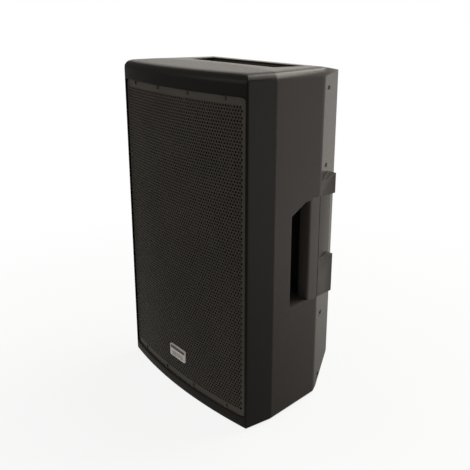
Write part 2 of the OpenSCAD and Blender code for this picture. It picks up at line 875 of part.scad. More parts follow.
// Corrugated disc that centres the coil
module woofer_spider() {
    waves = 4;
    steps = 24;
    swing = 2;
    r0 = coil_r + 0.5;
    r1 = spider_r + 2;
    thick = 0.9;
    wave = [for (i = [0:steps]) [r0 + (r1 - r0) * i / steps, spider_y - 1.2 + swing * sin(360 * waves * i / steps)]];
    color("#b08c4a") on_woofer() {
        rotate_extrude($fn = 96) polygon(concat(wave, [for (i = [steps:-1:0]) wave[i] + [0, thick]]));
        disc(basket_foot_r - 3.5, spider_y - 0.2, spider_y + 0.9, spider_r);
    }
}

module voice_coil() {
    former = 0.6;
    wind = 0.9;
    coil_l = 16;
    mid = plate_y + plate_t / 2;
    color("#c98b4b") on_woofer() {
        disc(coil_r, neck_y - 6, mid + coil_l / 2, coil_r - former);
        disc(coil_r + wind, mid - coil_l / 2, mid + coil_l / 2, coil_r - former);
    }
}

module woofer_top_plate() {
    color("#6e7072") on_woofer() disc(top_plate_r, plate_y, plate_y + plate_t, coil_r + 1 + gap_in);
}

module woofer_magnet() {
    color("#3a3b3d") on_woofer() disc(magnet_r, magnet_y, magnet_y + magnet_t, coil_r + 9);
}

module woofer_yoke() {
    color("#6e7072") on_woofer() {
        disc(magnet_r - 8, yoke_y, yoke_y + yoke_t, 12);
        disc(coil_r - 0.6 - gap_in, plate_y + 0.5, yoke_y + cut, 12);
    }
}

// Tag board with two spade tabs, on the basket's foot
module woofer_terminals() {
    w = 30;
    color("#8a2f22") placed() translate([-w / 2, seat_y - 5, woofer_z + basket_foot_r]) {
        translate([0, 0, 0.1]) cube([w, 11, 3.4]);
        for (x = [5, w - 9]) translate([x, 3, 3]) cube([4, 0.8, 9]);
    }
}

module woofer_screws() {
    color("#3a3a3c") on_woofer() woofer_screw_spots()
        translate([0, 0, frame_y - 3 - 3]) screw(5, 3, 2.2, baffle_back - frame_y + 4);
}

// ==== horn and high-frequency driver ====
// Section of the horn at share t from mouth to throat, grown by g
function horn_ring(t, g) =
    let (
        open = pow(1 - t, 1.7),
        a = (horn_w / 2 - 6) * open + throat_d / 2 * (1 - open) + g,
        b = (horn_h / 2 - 6) * open + throat_d / 2 * (1 - open) + g,
        p = 2 + 4 * open
    ) [for (i = [0:horn_sides - 1]) let (
        w = 360 * (i + 0.5) / horn_sides,
        c = cos(w),
        s = sin(w)
    ) [a * sign(c) * pow(abs(c), 2 / p), b * sign(s) * pow(abs(s), 2 / p)]];
horn_t = [for (i = [0:horn_steps]) i / horn_steps];

// The horn's form grown by g, from y0 to y1
module horn_loft(g, y0, y1) {
    loft([for (t = horn_t) [for (q = horn_ring(t, g)) [q[0], q[1], y0 + (y1 - y0) * t]]]);
}

module horn_screw_spots() {
    for (x = [-0.5, 0, 0.5], y = [-0.5, 0.5])
        translate([x * (horn_w + horn_flange), y * (horn_h + horn_flange)]) children();
}

module horn() {
    color("#1a1a1b") placed() facing_back(0, horn_z) difference() {
        union() {
            back_plate(horn_w + 2 * horn_flange, horn_h + 2 * horn_flange, 12, horn_y, baffle_y);
            horn_loft(horn_wall, horn_y + 2, throat_y);
            disc(hf_r - 2, throat_y - 6, throat_y);
        }
        horn_loft(0, horn_y - 0.01, throat_y + 0.01);
        horn_screw_spots() disc(2.2, horn_y - cut, baffle_y + cut);
        hf_bolt_spots() disc(2.2, throat_y - 7, throat_y + cut);
    }
}

module horn_screws() {
    color("#3a3a3c") placed() facing_back(0, horn_z) horn_screw_spots()
        translate([0, 0, horn_y - 2.4]) screw(4.2, 2.4, 1.9, baffle_back - horn_y + 3);
}

module hf_bolt_spots() {
    for (a = [45:90:315]) rotate([0, 0, a]) translate([hf_bolt_r, 0, 0]) children();
}

module on_driver() {
    placed() facing_back(0, horn_z) children();
}

module hf_front_plate() {
    color("#55575a") on_driver() difference() {
        disc(hf_r - 2, hf_plate_y, hf_magnet_y, throat_d / 2);
        hf_bolt_spots() disc(2.2, hf_plate_y - cut, hf_magnet_y + cut);
    }
}

module hf_magnet() {
    color("#3a3b3d") on_driver() difference() {
        disc(hf_r, hf_magnet_y, hf_cover_y, throat_d / 2);
        hf_bolt_spots() disc(2.6, hf_magnet_y - cut, hf_cover_y + cut);
    }
}

module hf_rear_cover() {
    color("#1b1b1d") on_driver() difference() {
        rotate_extrude() polygon([
            [0, hf_cover_y + 10], [26, hf_cover_y + 10], [30, hf_cover_y], [hf_r - 3, hf_cover_y],
            [hf_r - 3, hf_cover_y + hf_cover_t - 5], [hf_r - 8, hf_cover_y + hf_cover_t], [0, hf_cover_y + hf_cover_t]
        ]);
        hf_bolt_spots() disc(2.6, hf_cover_y - cut, hf_cover_y + hf_cover_t + cut);
    }
}

// Thin metal dome on a coil, over the throat
module hf_diaphragm() {
    half = 22;
    rise = 6;
    ball = (half * half + rise * rise) / (2 * rise);
    color("#c8c4b4") on_driver() {
        intersection() {
            translate([0, 0, hf_cover_y + 1 + rise - ball]) difference() {
                sphere(r = ball);
                sphere(r = ball - 0.6);
            }
            disc(half, hf_cover_y + 1, hf_cover_y + 9);
        }
        disc(half + 4, hf_cover_y + 0.8, hf_cover_y + 1.6, half - 0.8);
    }
}

module hf_bolts() {
    long = hf_cover_y + hf_cover_t - throat_y + 4;
    color("#8a8c8e") on_driver() hf_bolt_spots()
        translate([0, 0, hf_cover_y + hf_cover_t + 4]) mirror([0, 0, 1]) {
            cylinder(r = 4, h = 4, $fn = 6);
            translate([0, 0, 4]) cylinder(r = 2, h = long);
        }
}

// ==== amplifier ====
module on_back(x, z) {
    placed() facing_back(x, z) children();
}

module knob_spots() {
    for (p = [[col_1, row_levels], [col_2, row_levels], [col_1, row_tone], [col_2, row_tone]]) facing_back(p[0], p[1])
        children();
}

module panel_screw_spots() {
    for (z = [panel_z0 + 5, panel_z1 - 5], x = [-0.5, 0, 0.5]) facing_back(x * (panel_w - 12), z) children();
    for (z = [0.25, 0.5, 0.75], x = [-0.5, 0.5])
        facing_back(x * (panel_w - 10), panel_z0 + z * panel_h) children();
}

module led_spots() {
    for (i = [0:2]) facing_back(col_3 - 12 + 12 * i, row_tone) children();
}

inlet_w = 28;
inlet_h = 48;
rocker_w = 19;
rocker_h = 13;
combo_r = 12;
latch_travel = 1.5;

module amp_panel() {
    y0 = panel_y - panel_t;
    color("#2a2b2d") placed() difference() {
        facing_back(0, (panel_z0 + panel_z1) / 2) back_plate(panel_w, panel_h, 7, y0, panel_y);
        for (x = [col_1, col_2]) facing_back(x, row_inputs) disc(combo_r + fit, y0 - cut, panel_y + cut);
        knob_spots() disc(shaft_r + 0.5, y0 - cut, panel_y + cut);
        led_spots() disc(1.6, y0 - cut, panel_y + cut);
        facing_back(col_1 + 10, row_mains) back_plate(inlet_w + fit, inlet_h + fit, 1, y0 - cut, panel_y + cut);
        facing_back(col_3, row_mains) back_plate(rocker_w + 4 + fit, rocker_h + 4 + fit, 1, y0 - cut, panel_y + cut);
        facing_back(col_3, row_levels) disc(5.2, y0 - cut, panel_y + cut);
        panel_screw_spots() disc(1.9, y0 - cut, panel_y + cut);
    }
}

module panel_screws() {
    color("#1a1a1a") placed() panel_screw_spots()
        translate([0, 0, panel_y + 2]) mirror([0, 0, 1]) screw(3.4, 2, 1.6, panel_t + 3);
}

module heatsink() {
    fins = 17;
    base = 3;
    color("#4a4c4f") placed() {
        block([-sink_w / 2, panel_y, sink_z0], [sink_w / 2, panel_y + base, sink_z0 + sink_h]);
        for (i = [0:fins - 1])
            translate([-sink_w / 2 + i * (sink_w - 2) / (fins - 1), panel_y + base - 0.5, sink_z0])
                cube([2, back_y - panel_y - base - 0.7, sink_h]);
    }
}

cover_x = panel_w / 2 - panel_ledge - 3;
cover_z0 = panel_z0 + panel_ledge + 4;
cover_z1 = panel_z1 - panel_ledge - 4;
cover_t = 1.2;
wire_x = 20;
wire_z = cover_z0 + 330;

// Folded sheet box that closes the electronics off from the air in the cabinet
module amp_cover() {
    y1 = panel_y - panel_t;
    color("#7c7f82") placed() difference() {
        block([-cover_x, y1 - amp_depth, cover_z0], [cover_x, y1, cover_z1]);
        block([-cover_x + cover_t, y1 - amp_depth + cover_t, cover_z0 + cover_t],
            [cover_x - cover_t, y1 + cut, cover_z1 - cover_t]);
        facing_back(wire_x, wire_z) disc(5, 0, panel_y - amp_depth + 6);
    }
}

// Circuit board on its spacers, behind the panel
module amp_board() {
    y1 = panel_y - panel_t - 44;
    z0 = row_mains + 50;
    z1 = cover_z1 - 12;
    color("#2d5a34") placed() {
        block([-cover_x + 6, y1, z0], [cover_x - 6, y1 + 1.6, z1]);
        for (x = [-1, 1], z = [z0 + 8, z1 - 8])
            facing_back(x * (cover_x - 14), z) disc(3, y1 + 1, panel_y - panel_t);
    }
}

module amp_capacitors() {
    y1 = panel_y - panel_t - 44;
    z = cover_z1 - 40;
    color("#20324f") placed() for (x = [-52, -18, 18, 52]) facing_back(x, z) {
        disc(13, y1 + 1.6, y1 + 30);
    }
}

// Toroidal transformer on the back of the cover
module power_transformer() {
    y0 = panel_y - panel_t - amp_depth + cover_t;
    color("#b5763a") placed() facing_back(0, row_mains + 4) difference() {
        disc(36, y0, y0 + 30);
        disc(10, y0 - cut, y0 + 31);
    }
}

// Mains inlet with its pin well and the slot for the fuse drawer
module mains_inlet() {
    y0 = panel_y - 24;
    color("#161616") placed() facing_back(col_1 + 10, row_mains) {
        difference() {
            union() {
                back_plate(inlet_w + 4, inlet_h + 4, 3, panel_y, panel_y + 2);
                back_plate(inlet_w, inlet_h, 1, y0, panel_y + 1);
            }
            translate([0, -7, 0]) back_plate(24.4, 17, 3, y0 + 4, panel_y + 3);
            translate([0, 14, 0]) back_plate(22.5, 9.5, 0.5, y0 + 2, panel_y + 3);
        }
        for (p = [[0, -3], [-7, -11], [7, -11]]) translate([p[0], p[1], y0 + 3]) translate([-1, -2, 0])
            cube([2, 4, 16]);
    }
}

module fuse_drawer() {
    y0 = panel_y - 20;
    color("#202022") placed() facing_back(col_1 + 10, row_mains) translate([0, 14, 0]) difference() {
        union() {
            back_plate(22, 9, 0.5, y0, panel_y + 2);
            back_plate(22, 9, 0.5, panel_y + 2.2 - 1, panel_y + 3.5);
            translate([-3, -6, panel_y + 2.3]) cube([6, 3, 1.2]);
        }
        translate([-7.8, -2.8, panel_y - 18]) cube([15.6, 5.6, 12]);
        translate([-7.8, -6, panel_y - 18]) cube([15.6, 8, 12]);
    }
}

// Glass fuse lying in the drawer
module fuse() {
    color("#cfd3d6") placed() facing_back(col_1 + 10, row_mains) translate([0, 14, 0])
        translate([-7.5, 0, panel_y - 12]) rotate([0, 90, 0]) {
            translate([0, 0, 0]) cylinder(r = 2.3, h = 4);
            translate([0, 0, 3.5]) cylinder(r = 2.0, h = 8);
            translate([0, 0, 11]) cylinder(r = 2.3, h = 4);
        }
}

module rocker_frame() {
    color("#161616") placed() facing_back(col_3, row_mains) difference() {
        union() {
            back_plate(rocker_w + 8, rocker_h + 8, 2, panel_y, panel_y + 1.6);
            back_plate(rocker_w + 4, rocker_h + 4, 1, panel_y - 20, panel_y + 1);
        }
        back_plate(rocker_w, rocker_h + 1.8, 0.5, panel_y - 14, panel_y + 3);
        for (x = [-1, 1]) translate([x * rocker_w / 2, 0, panel_y - 5]) rotate([0, 90, 0])
            cylinder(r = 1.5, h = 3, center = true);
    }
}

// Rocker on two stub pins; it stands tilted to its off side
module power_rocker() {
    color("#a31616") placed() facing_back(col_3, row_mains) translate([0, 0, panel_y - 5]) {
        rotate([8, 0, 0]) rotate([90, 0, 90]) linear_extrude(rocker_w - 2 * slip, center = true)
            polygon([[-5.6, 1], [-2, -6], [2, -6], [5.6, 1], [6.2, 6.6], [0, 4.4], [-6.2, 6.6]]);
        rotate([0, 90, 0]) cylinder(r = 1.42, h = rocker_w + 2.4, center = true);
    }
}

// Combined microphone and jack socket
module combo_input(x) {
    color("#1b1b1d") on_back(x, row_inputs) difference() {
        union() {
            back_plate(26, 31, 2.5, panel_y, panel_y + 2);
            disc(combo_r - 0.2, panel_y - 30, panel_y + 1);
        }
        disc(9.6, panel_y - 14, panel_y + 3, 8.1);
        disc(3.25, panel_y - 26, panel_y + 3);
        for (a = [90, 210, 330]) rotate([0, 0, a]) translate([5.7, 0, 0]) disc(1.25, panel_y - 14, panel_y + 3);
        translate([-3.5 - slip, -15, panel_y - 5]) cube([7 + 2 * slip, 4.6 + slip, 9]);
        for (s = [-1, 1]) translate([s * 9.5, s * 12, 0]) disc(1.6, panel_y - cut, panel_y + 3);
    }
}

module combo_input_1() {
    combo_input(col_1);
}

module combo_input_2() {
    combo_input(col_2);
}

module latch_tab(x) {
    color("#8d9094") on_back(x, row_inputs) translate([-3.5, -14.7, panel_y + latch_travel + slip])
        cube([7, 4, 2.6]);
}

module latch_tab_1() {
    latch_tab(col_1);
}

module latch_tab_2() {
    latch_tab(col_2);
}

// Potentiometers behind the panel, each with its nut and a hollow bush
module potentiometers() {
    y1 = panel_y - panel_t;
    color("#5b6a58") placed() knob_spots() {
        disc(8, y1 - 9, y1, shaft_r + 0.08);
        disc(8, y1 - 11, y1 - 9);
    }
}

// Control knob with a pointer groove and its shaft
module knob(x, z) {
    color("#26272a") on_back(x, z) {
        difference() {
            union() {
                disc(knob_d / 2 + 1, panel_y + slip, panel_y + 2);
                disc(knob_d / 2, panel_y + 2 - 0.1, panel_y + knob_l);
            }
            translate([-0.6, -knob_d / 2 - 2, panel_y + knob_l - 1]) cube([1.2, knob_d / 2 + 1, 2]);
            for (a = [15:30:345]) rotate([0, 0, a - 90]) translate([knob_d / 2 + 0.6, 0, 0])
                disc(1.2, panel_y + 2.5, panel_y + knob_l + 1);
        }
        disc(shaft_r, panel_y - panel_t - 8.6, panel_y + 3);
    }
}

module knob_level_1() {
    knob(col_1, row_levels);
}

module knob_level_2() {
    knob(col_2, row_levels);
}

module knob_treble() {
    knob(col_1, row_tone);
}

module knob_bass() {
    knob(col_2, row_tone);
}

// Push switch behind the panel, with a round guide
module lift_switch() {
    color("#3c3f42") on_back(col_3, row_levels) {
        disc(4.9, panel_y - panel_t - 8, panel_y + 0.8, 3.3);
        disc(6.5, panel_y - panel_t - 12, panel_y - panel_t - 0.1, 3.3);
        disc(6.5, panel_y - panel_t - 14, panel_y - panel_t - 11.9);
    }
}

module lift_button() {
    color("#b9bcc0") on_back(col_3, row_levels) disc(3.22, panel_y - panel_t - 8, panel_y + 1.8 + button_travel);
}

module status_lights() {
    color("#3fae4a") placed() led_spots() {
        disc(1.5, panel_y - panel_t, panel_y + 1);
        disc(2.4, panel_y - panel_t - 3, panel_y - panel_t);
    }
}

// Two-core lead from the amplifier to the woofer's tags and on to the driver
wire_r = 2;
woofer_run = [
    [wire_x, panel_y - panel_t - amp_depth + 3, wire_z], [wire_x, 196, wire_z], [19, 182, wire_z - 8],
    [18, 170, 452], [15, 150, 425], [13, 128, 398], [12.4, seat_y + 2, 370],
    [12.2, seat_y - 1.6, woofer_z + basket_foot_r + 9]
];

// A tube of eight sides swept along a list of points
module swept(route, r) {
    n = len(route);
    sides = 8;
    dirs = [for (i = [0:n - 1]) unit(route[min(n - 1, i + 1)] - route[max(0, i - 1)])];
    loft([for (i = [0:n - 1]) let (
        d = dirs[i],
        u = unit(cross(d, abs(d[0]) > 0.9 ? [0, 0, 1] : [1, 0, 0])),
        v = cross(d, u)
    ) [for (k = [0:sides - 1]) route[i] + r * (u * cos(360 * k / sides) + v * sin(360 * k / sides))]]);
}

module speaker_wires() {
    color("#7a1f1f") placed() swept(woofer_run, wire_r);
}

// ==== output ====
front_bezel();
rear_shell();
grille();
badge();
grille_screws();
cabinet_screws();
side_handle_right();
side_handle_left();
top_handle();
pole_cup();
pole_cup_screws();
rubber_feet();
port_tubes();
damping_wadding();
woofer_basket();
woofer_gasket();
woofer_surround();
woofer_cone();
woofer_dust_cap();
woofer_spider();
voice_coil();
woofer_top_plate();
woofer_magnet();
woofer_yoke();
woofer_terminals();
woofer_screws();
horn();
horn_screws();
hf_front_plate();
hf_magnet();
hf_rear_cover();
hf_diaphragm();
hf_bolts();
amp_panel();
panel_screws();
heatsink();
amp_cover();
amp_board();
amp_capacitors();
power_transformer();
mains_inlet();
fuse_drawer();
fuse();
rocker_frame();
power_rocker();
combo_input_1();
combo_input_2();
latch_tab_1();
latch_tab_2();
potentiometers();
knob_level_1();
knob_level_2();
knob_treble();
knob_bass();
lift_switch();
lift_button();
status_lights();
speaker_wires();
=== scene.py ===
"""Looks of a moulded loudspeaker cabinet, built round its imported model.

The model gives every size and place. This file dresses the model's own pieces, rebuilds the ones that need
finer shapes (mouldings, perforated grille, badge, wadding), and adds the printed marks of the rear panel.
"""
import logging
import math
from dataclasses import dataclass, field
from enum import Enum
from typing import Any, Callable, Optional, Sequence

import bmesh
import bpy
from mathutils import Matrix, Vector, noise


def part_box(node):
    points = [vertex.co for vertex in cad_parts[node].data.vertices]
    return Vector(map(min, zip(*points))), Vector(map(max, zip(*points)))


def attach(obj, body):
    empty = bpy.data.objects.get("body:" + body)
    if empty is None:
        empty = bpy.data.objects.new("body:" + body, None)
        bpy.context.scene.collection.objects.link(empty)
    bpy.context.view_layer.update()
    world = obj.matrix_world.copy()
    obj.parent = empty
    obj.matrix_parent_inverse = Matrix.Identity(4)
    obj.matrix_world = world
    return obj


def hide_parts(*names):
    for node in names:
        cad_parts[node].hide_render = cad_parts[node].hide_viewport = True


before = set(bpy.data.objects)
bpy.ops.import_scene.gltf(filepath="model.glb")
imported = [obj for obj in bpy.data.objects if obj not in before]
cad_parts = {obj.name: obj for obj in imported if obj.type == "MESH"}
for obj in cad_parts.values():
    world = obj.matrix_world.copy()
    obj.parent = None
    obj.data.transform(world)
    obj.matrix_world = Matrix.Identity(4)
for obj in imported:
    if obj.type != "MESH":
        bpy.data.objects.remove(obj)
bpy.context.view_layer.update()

MM = 0.001
LOG = logging.getLogger("cabinet")


# ---------------------------------------------------------------- nodes and colours
def linear(code: str) -> tuple[float, float, float, float]:
    """Turns an sRGB hex colour into the linear colour that the shaders take.

    Args:
        code: Colour as "#rrggbb".

    Returns:
        Red, green, blue and alpha, linear.
    """
    parts = [int(code[i : i + 2], 16) / 255 for i in (1, 3, 5)]
    red, green, blue = (p / 12.92 if p <= 0.04045 else ((p + 0.055) / 1.055) ** 2.4 for p in parts)
    return red, green, blue, 1.0


def add(
    tree: bpy.types.NodeTree,
    kind: str,
    settings: Optional[dict[Any, Any]] = None,
    links: Optional[dict[Any, bpy.types.NodeSocket]] = None,
    **options: Any,
) -> bpy.types.Node:
    """Adds one node with its options, socket values and incoming links.

    Args:
        tree: Node tree that gets the node.
        kind: Blender's name for the node's type.
        settings: Socket name or number to its value.
        links: Socket name or number to the output that feeds it.
        **options: Properties of the node itself.

    Returns:
        The new node.
    """
    made = tree.nodes.new(kind)
    for name, value in options.items():
        setattr(made, name, value)
    for socket, value in (settings or {}).items():
        made.inputs[socket].default_value = value
    for socket, source in (links or {}).items():
        tree.links.new(source, made.inputs[socket])
    return made


class Pattern(Enum):
    """The relief that a surface has from the way it was made."""

    GRAIN = "leather grain of a textured mould"
    SAND = "fine even sand texture"
    BRUSHED = "straight brushed lines"
    WEAVE = "woven threads"
    FIBRE = "matted fibres"
    WINDING = "wire wound side by side"
    SPANGLE = "zinc crystals"
    SMOOTH = "faint orange peel"


@dataclass(frozen=True)
class Finish:
    """One real material with the way its surface was made.

    Attributes:
        name: The material's name.
        colour: Main colour, sRGB hex.
        shade: Colour that the relief and the cloudiness bring out, sRGB hex.
        rough: Middle roughness.
        pattern: Relief of the surface.
        size_mm: Size of one grain, thread or line, in millimetres.
        depth_mm: Depth of the relief, in millimetres.
        metallic: 1 for bare metal.
        spread: How far roughness swings either way.
        edge_mm: Radius of the eased edges, in millimetres.
        wear: How much of the worn colour shows along edges.
        worn: Colour of worn edges, sRGB hex.
        dust: How much dust lies on faces that look up.
        sheen: Strength of the sheen of cloth.
        coat: Strength of a clear lacquer.
        ior: Index of refraction; metals keep the shader's own.
        clear: Share of light that goes through.
        contrast: How strongly the relief changes the colour.
        glow: Strength of the lit lens, 0 for anything else.
        gloss: Specular level; low for resins that scatter light at their skin.
    """

    name: str
    colour: str
    shade: str
    rough: float
    pattern: Pattern
    size_mm: float
    depth_mm: float
    metallic: float = 0.0
    spread: float = 0.08
    edge_mm: float = 0.5
    wear: float = 0.2
    worn: str = "#5c5a57"
    dust: float = 0.0
    sheen: float = 0.0
    coat: float = 0.0
    ior: float = 1.5
    clear: float = 0.0
    contrast: float = 0.5
    glow: float = 0.0
    gloss: float = 0.5

    def material(self) -> bpy.types.Material:
        """Builds the material, or returns the one built before.

        Returns:
            The node material.
        """
        made = bpy.data.materials.get(self.name)
        if made is not None:
            return made
        made = bpy.data.materials.new(self.name)
        made.use_nodes = True
        tree = made.node_tree
        tree.nodes.clear()
        place = add(tree, "ShaderNodeTexCoord").outputs["Object"]
        relief = self._relief(tree, place)
        eased = add(tree, "ShaderNodeBevel", {"Radius": self.edge_mm * MM}, samples=4)
        colour = self._colour(tree, place, relief, eased.outputs["Normal"])
        rough = add(
            tree,
            "ShaderNodeMapRange",
            {"To Min": max(0.02, self.rough - self.spread), "To Max": min(1.0, self.rough + self.spread)},
            {"Value": relief},
        )
        bump = add(
            tree,
            "ShaderNodeBump",
            {"Strength": 0.8, "Distance": self.depth_mm * MM},
            {"Height": relief, "Normal": eased.outputs["Normal"]},
        )
        shader = add(
            tree,
            "ShaderNodeBsdfPrincipled",
            {
                "Metallic": self.metallic,
                "Sheen Weight": self.sheen,
                "Coat Weight": self.coat,
                "Coat Roughness": 0.12,
                "Transmission Weight": self.clear,
                "Emission Strength": self.glow,
                "Specular IOR Level": self.gloss,
            },
            {"Base Color": colour, "Roughness": rough.outputs["Result"], "Normal": bump.outputs["Normal"]},
        )
        if self.metallic < 0.5:
            shader.inputs["IOR"].default_value = self.ior
        if self.glow > 0:
            tree.links.new(colour, shader.inputs["Emission Color"])
        add(tree, "ShaderNodeOutputMaterial", links={"Surface": shader.outputs["BSDF"]})
        made.diffuse_color = linear(self.colour)
        return made

    def _relief(self, tree: bpy.types.NodeTree, place: bpy.types.NodeSocket) -> bpy.types.NodeSocket:
        """Builds the height of the surface's relief, from 0 to 1.

        Args:
            tree: Node tree of the material.
            place: Object coordinates.

        Returns:
            The output that carries the height.
        """
        scale = 1 / (self.size_mm * MM)
        if self.pattern is Pattern.GRAIN:
            cells = add(tree, "ShaderNodeTexVoronoi", {"Scale": scale, "Randomness": 0.9}, {"Vector": place},
                        feature="SMOOTH_F1")
            fine = add(tree, "ShaderNodeTexNoise", {"Scale": scale * 2.6, "Detail": 2.0}, {"Vector": place})
            mixed = add(tree, "ShaderNodeMath", links={0: cells.outputs["Distance"], 1: fine.outputs["Fac"]},
                        operation="MULTIPLY")
            return add(tree, "ShaderNodeMapRange", {"From Max": 0.42}, {"Value": mixed.outputs[0]}).outputs["Result"]
        if self.pattern is Pattern.BRUSHED:
            drawn = add(tree, "ShaderNodeMapping", {"Scale": (0.03, 1.0, 1.0)}, {"Vector": place})
            return add(tree, "ShaderNodeTexNoise", {"Scale": scale, "Detail": 3.0},
                       {"Vector": drawn.outputs["Vector"]}).outputs["Fac"]
        if self.pattern is Pattern.WEAVE:
            turn = 2 * math.pi
            warp = add(tree, "ShaderNodeTexWave", {"Scale": scale / turn, "Distortion": 0.4}, {"Vector": place},
                       bands_direction="X")
            weft = add(tree, "ShaderNodeTexWave", {"Scale": scale / turn, "Distortion": 0.4}, {"Vector": place},
                       bands_direction="Z")
            return add(tree, "ShaderNodeMath", links={0: warp.outputs["Fac"], 1: weft.outputs["Fac"]},
                       operation="MULTIPLY").outputs[0]
        if self.pattern is Pattern.WINDING:
            return add(tree, "ShaderNodeTexWave", {"Scale": scale / (2 * math.pi), "Distortion": 0.2},
                       {"Vector": place}, bands_direction="Y").outputs["Fac"]
        if self.pattern is Pattern.SPANGLE:
            cells = add(tree, "ShaderNodeTexVoronoi", {"Scale": scale}, {"Vector": place})
            return add(tree, "ShaderNodeSeparateColor", links={0: cells.outputs["Color"]}).outputs[0]
        detail, twist = {
            Pattern.SAND: (4.0, 0.0), Pattern.FIBRE: (6.0, 3.0), Pattern.SMOOTH: (1.0, 0.0),
        }[self.pattern]
        return add(tree, "ShaderNodeTexNoise", {"Scale": scale, "Detail": detail, "Distortion": twist},
                   {"Vector": place}).outputs["Fac"]

    def _colour(
        self,
        tree: bpy.types.NodeTree,
        place: bpy.types.NodeSocket,
        relief: bpy.types.NodeSocket,
        eased: bpy.types.NodeSocket,
    ) -> bpy.types.NodeSocket:
        """Mixes the colour from relief, cloudiness, worn edges and dust.

        Args:
            tree: Node tree of the material.
            place: Object coordinates.
            relief: Height of the relief.
            eased: Normal of the eased edges.

        Returns:
            The output that carries the colour.
        """
        # clouds about a hand wide: no moulding or paint is even all over
        cloud = add(tree, "ShaderNodeTexNoise", {"Scale": 1 / (90 * MM), "Detail": 3.0}, {"Vector": place})
        both = add(tree, "ShaderNodeMath", {1: 0.5}, {0: cloud.outputs["Fac"]}, operation="MULTIPLY")
        share = add(tree, "ShaderNodeMath", {1: self.contrast}, {0: relief, 2: both.outputs[0]},
                    operation="MULTIPLY_ADD", use_clamp=True)
        colour = add(tree, "ShaderNodeMix", {6: linear(self.shade), 7: linear(self.colour)},
                     {0: share.outputs[0]}, data_type="RGBA").outputs[2]
        surface = add(tree, "ShaderNodeNewGeometry")
        if self.wear > 0:
            # the eased normal leaves the true one only near an edge
            facing = add(tree, "ShaderNodeVectorMath", links={0: eased, 1: surface.outputs["Normal"]},
                         operation="DOT_PRODUCT")
            rim = add(tree, "ShaderNodeMapRange", {"From Min": 0.995, "From Max": 0.8, "To Max": self.wear},
                      {"Value": facing.outputs["Value"]})
            rubbed = add(tree, "ShaderNodeMath", links={0: rim.outputs["Result"], 1: cloud.outputs["Fac"]},
                         operation="MULTIPLY")
            colour = add(tree, "ShaderNodeMix", {7: linear(self.worn)}, {0: rubbed.outputs[0], 6: colour},
                         data_type="RGBA").outputs[2]
        if self.dust > 0:
            up = add(tree, "ShaderNodeSeparateXYZ", links={0: surface.outputs["Normal"]})
            lying = add(tree, "ShaderNodeMapRange", {"From Min": 0.5, "From Max": 1.0, "To Max": self.dust},
                        {"Value": up.outputs["Z"]})
            spots = add(tree, "ShaderNodeTexNoise", {"Scale": 1 / (6 * MM), "Detail": 4.0}, {"Vector": place})
            patchy = add(tree, "ShaderNodeMath", links={0: lying.outputs["Result"], 1: spots.outputs["Fac"]},
                         operation="MULTIPLY")
            colour = add(tree, "ShaderNodeMix", {7: linear("#8f8b84")}, {0: patchy.outputs[0], 6: colour},
                         data_type="RGBA").outputs[2]
        return colour


# ---------------------------------------------------------------- finishes
# Polypropylene from a textured mould: a dull black-brown with a leather grain of about a millimetre
SHELL_PLASTIC = Finish("textured_polypropylene_shell", "#2b2724", "#1f1c19", 0.31, Pattern.GRAIN, 1.1, 0.09,
                       gloss=0.26, edge_mm=2.2, wear=0.35, worn="#57544f", dust=0.25)
# The front moulding comes from another tool and is a little blacker
BEZEL_PLASTIC = Finish("textured_polypropylene_bezel", "#1b1a18", "#12110f", 0.36, Pattern.GRAIN, 1.1, 0.09,
                       gloss=0.22, edge_mm=2.6, wear=0.35, worn="#4a4844", dust=0.25)
# Grip areas have the same resin as the shell. Their lighter colour is painted light, for the light that the hand
# pockets catch; the higher gloss and the worn edges stand for polish by hands
GRIP_PLASTIC_PAINTED_LIGHTER = Finish("grip_polypropylene_painted_lighter", "#4a4743", "#33302d", 0.4, Pattern.GRAIN, 1.1, 0.06, gloss=0.4,
                      edge_mm=1.6, wear=0.45, worn="#5a5752")
# Glass-filled nylon, moulded: finer and blacker than the shell
NYLON = Finish("glass_filled_nylon", "#1d1d1e", "#121213", 0.48, Pattern.SAND, 0.7, 0.04, wear=0.2, worn="#3c3c3c")
# Powder coat on steel: a black skin with fine bumps that catch the light
POWDER_COAT = Finish("black_powder_coated_steel", "#55514b", "#383530", 0.36, Pattern.SAND, 0.6, 0.05, edge_mm=0.25,
                     wear=0.5, worn="#6d6a64", ior=1.52)
# Textured paint on the aluminium panel
PANEL_PAINT = Finish("textured_black_panel_paint", "#232425", "#161717", 0.55, Pattern.SAND, 0.8, 0.06,
                     edge_mm=0.5, wear=0.6, worn="#8b8c8d")
# Brushed aluminium, lacquered: bright, with lines along the plate. It is drawn mostly as a pale coat, because bare
# metal mirrors the dim room and goes dark
BRUSHED_PLATE = Finish("brushed_aluminium", "#fbfaf6", "#e2e1dc", 0.34, Pattern.BRUSHED, 0.35, 0.02, metallic=0.1,
                       edge_mm=0.4, wear=0.1, worn="#f0efe9")
# Vitreous enamel laid in the badge's band
BADGE_ENAMEL = Finish("dark_badge_enamel", "#5a5957", "#474644", 0.22, Pattern.SMOOTH, 2.0, 0.01, coat=0.6, wear=0.0)
# Black oxide on steel screws: oily and soft in its shine. The pale base stands for that shine, because metal takes
# its tone from the dim room
BLACK_OXIDE = Finish("black_oxide_steel", "#8a867f", "#5e5b56", 0.32, Pattern.SAND, 0.5, 0.02, metallic=0.9,
                     edge_mm=0.3, wear=0.7, worn="#8d8c88")
# Zinc plate: pale grey-blue, slightly cloudy
ZINC = Finish("zinc_plated_steel", "#a7aaac", "#7f8386", 0.34, Pattern.SMOOTH, 1.5, 0.01, metallic=1.0,
              edge_mm=0.3, wear=0.3, worn="#d0d1d2")
# Galvanised sheet: large zinc crystals, each with its own grey
GALVANISED = Finish("galvanised_sheet", "#b4b8ba", "#8a8e91", 0.4, Pattern.SPANGLE, 7.0, 0.01, metallic=1.0, wear=0.2)
# Black anodised aluminium: satin and even
ANODISED = Finish("black_anodised_aluminium", "#333436", "#222325", 0.36, Pattern.BRUSHED, 0.4, 0.015, metallic=0.7,
                  edge_mm=0.3, wear=0.7, worn="#97999b")
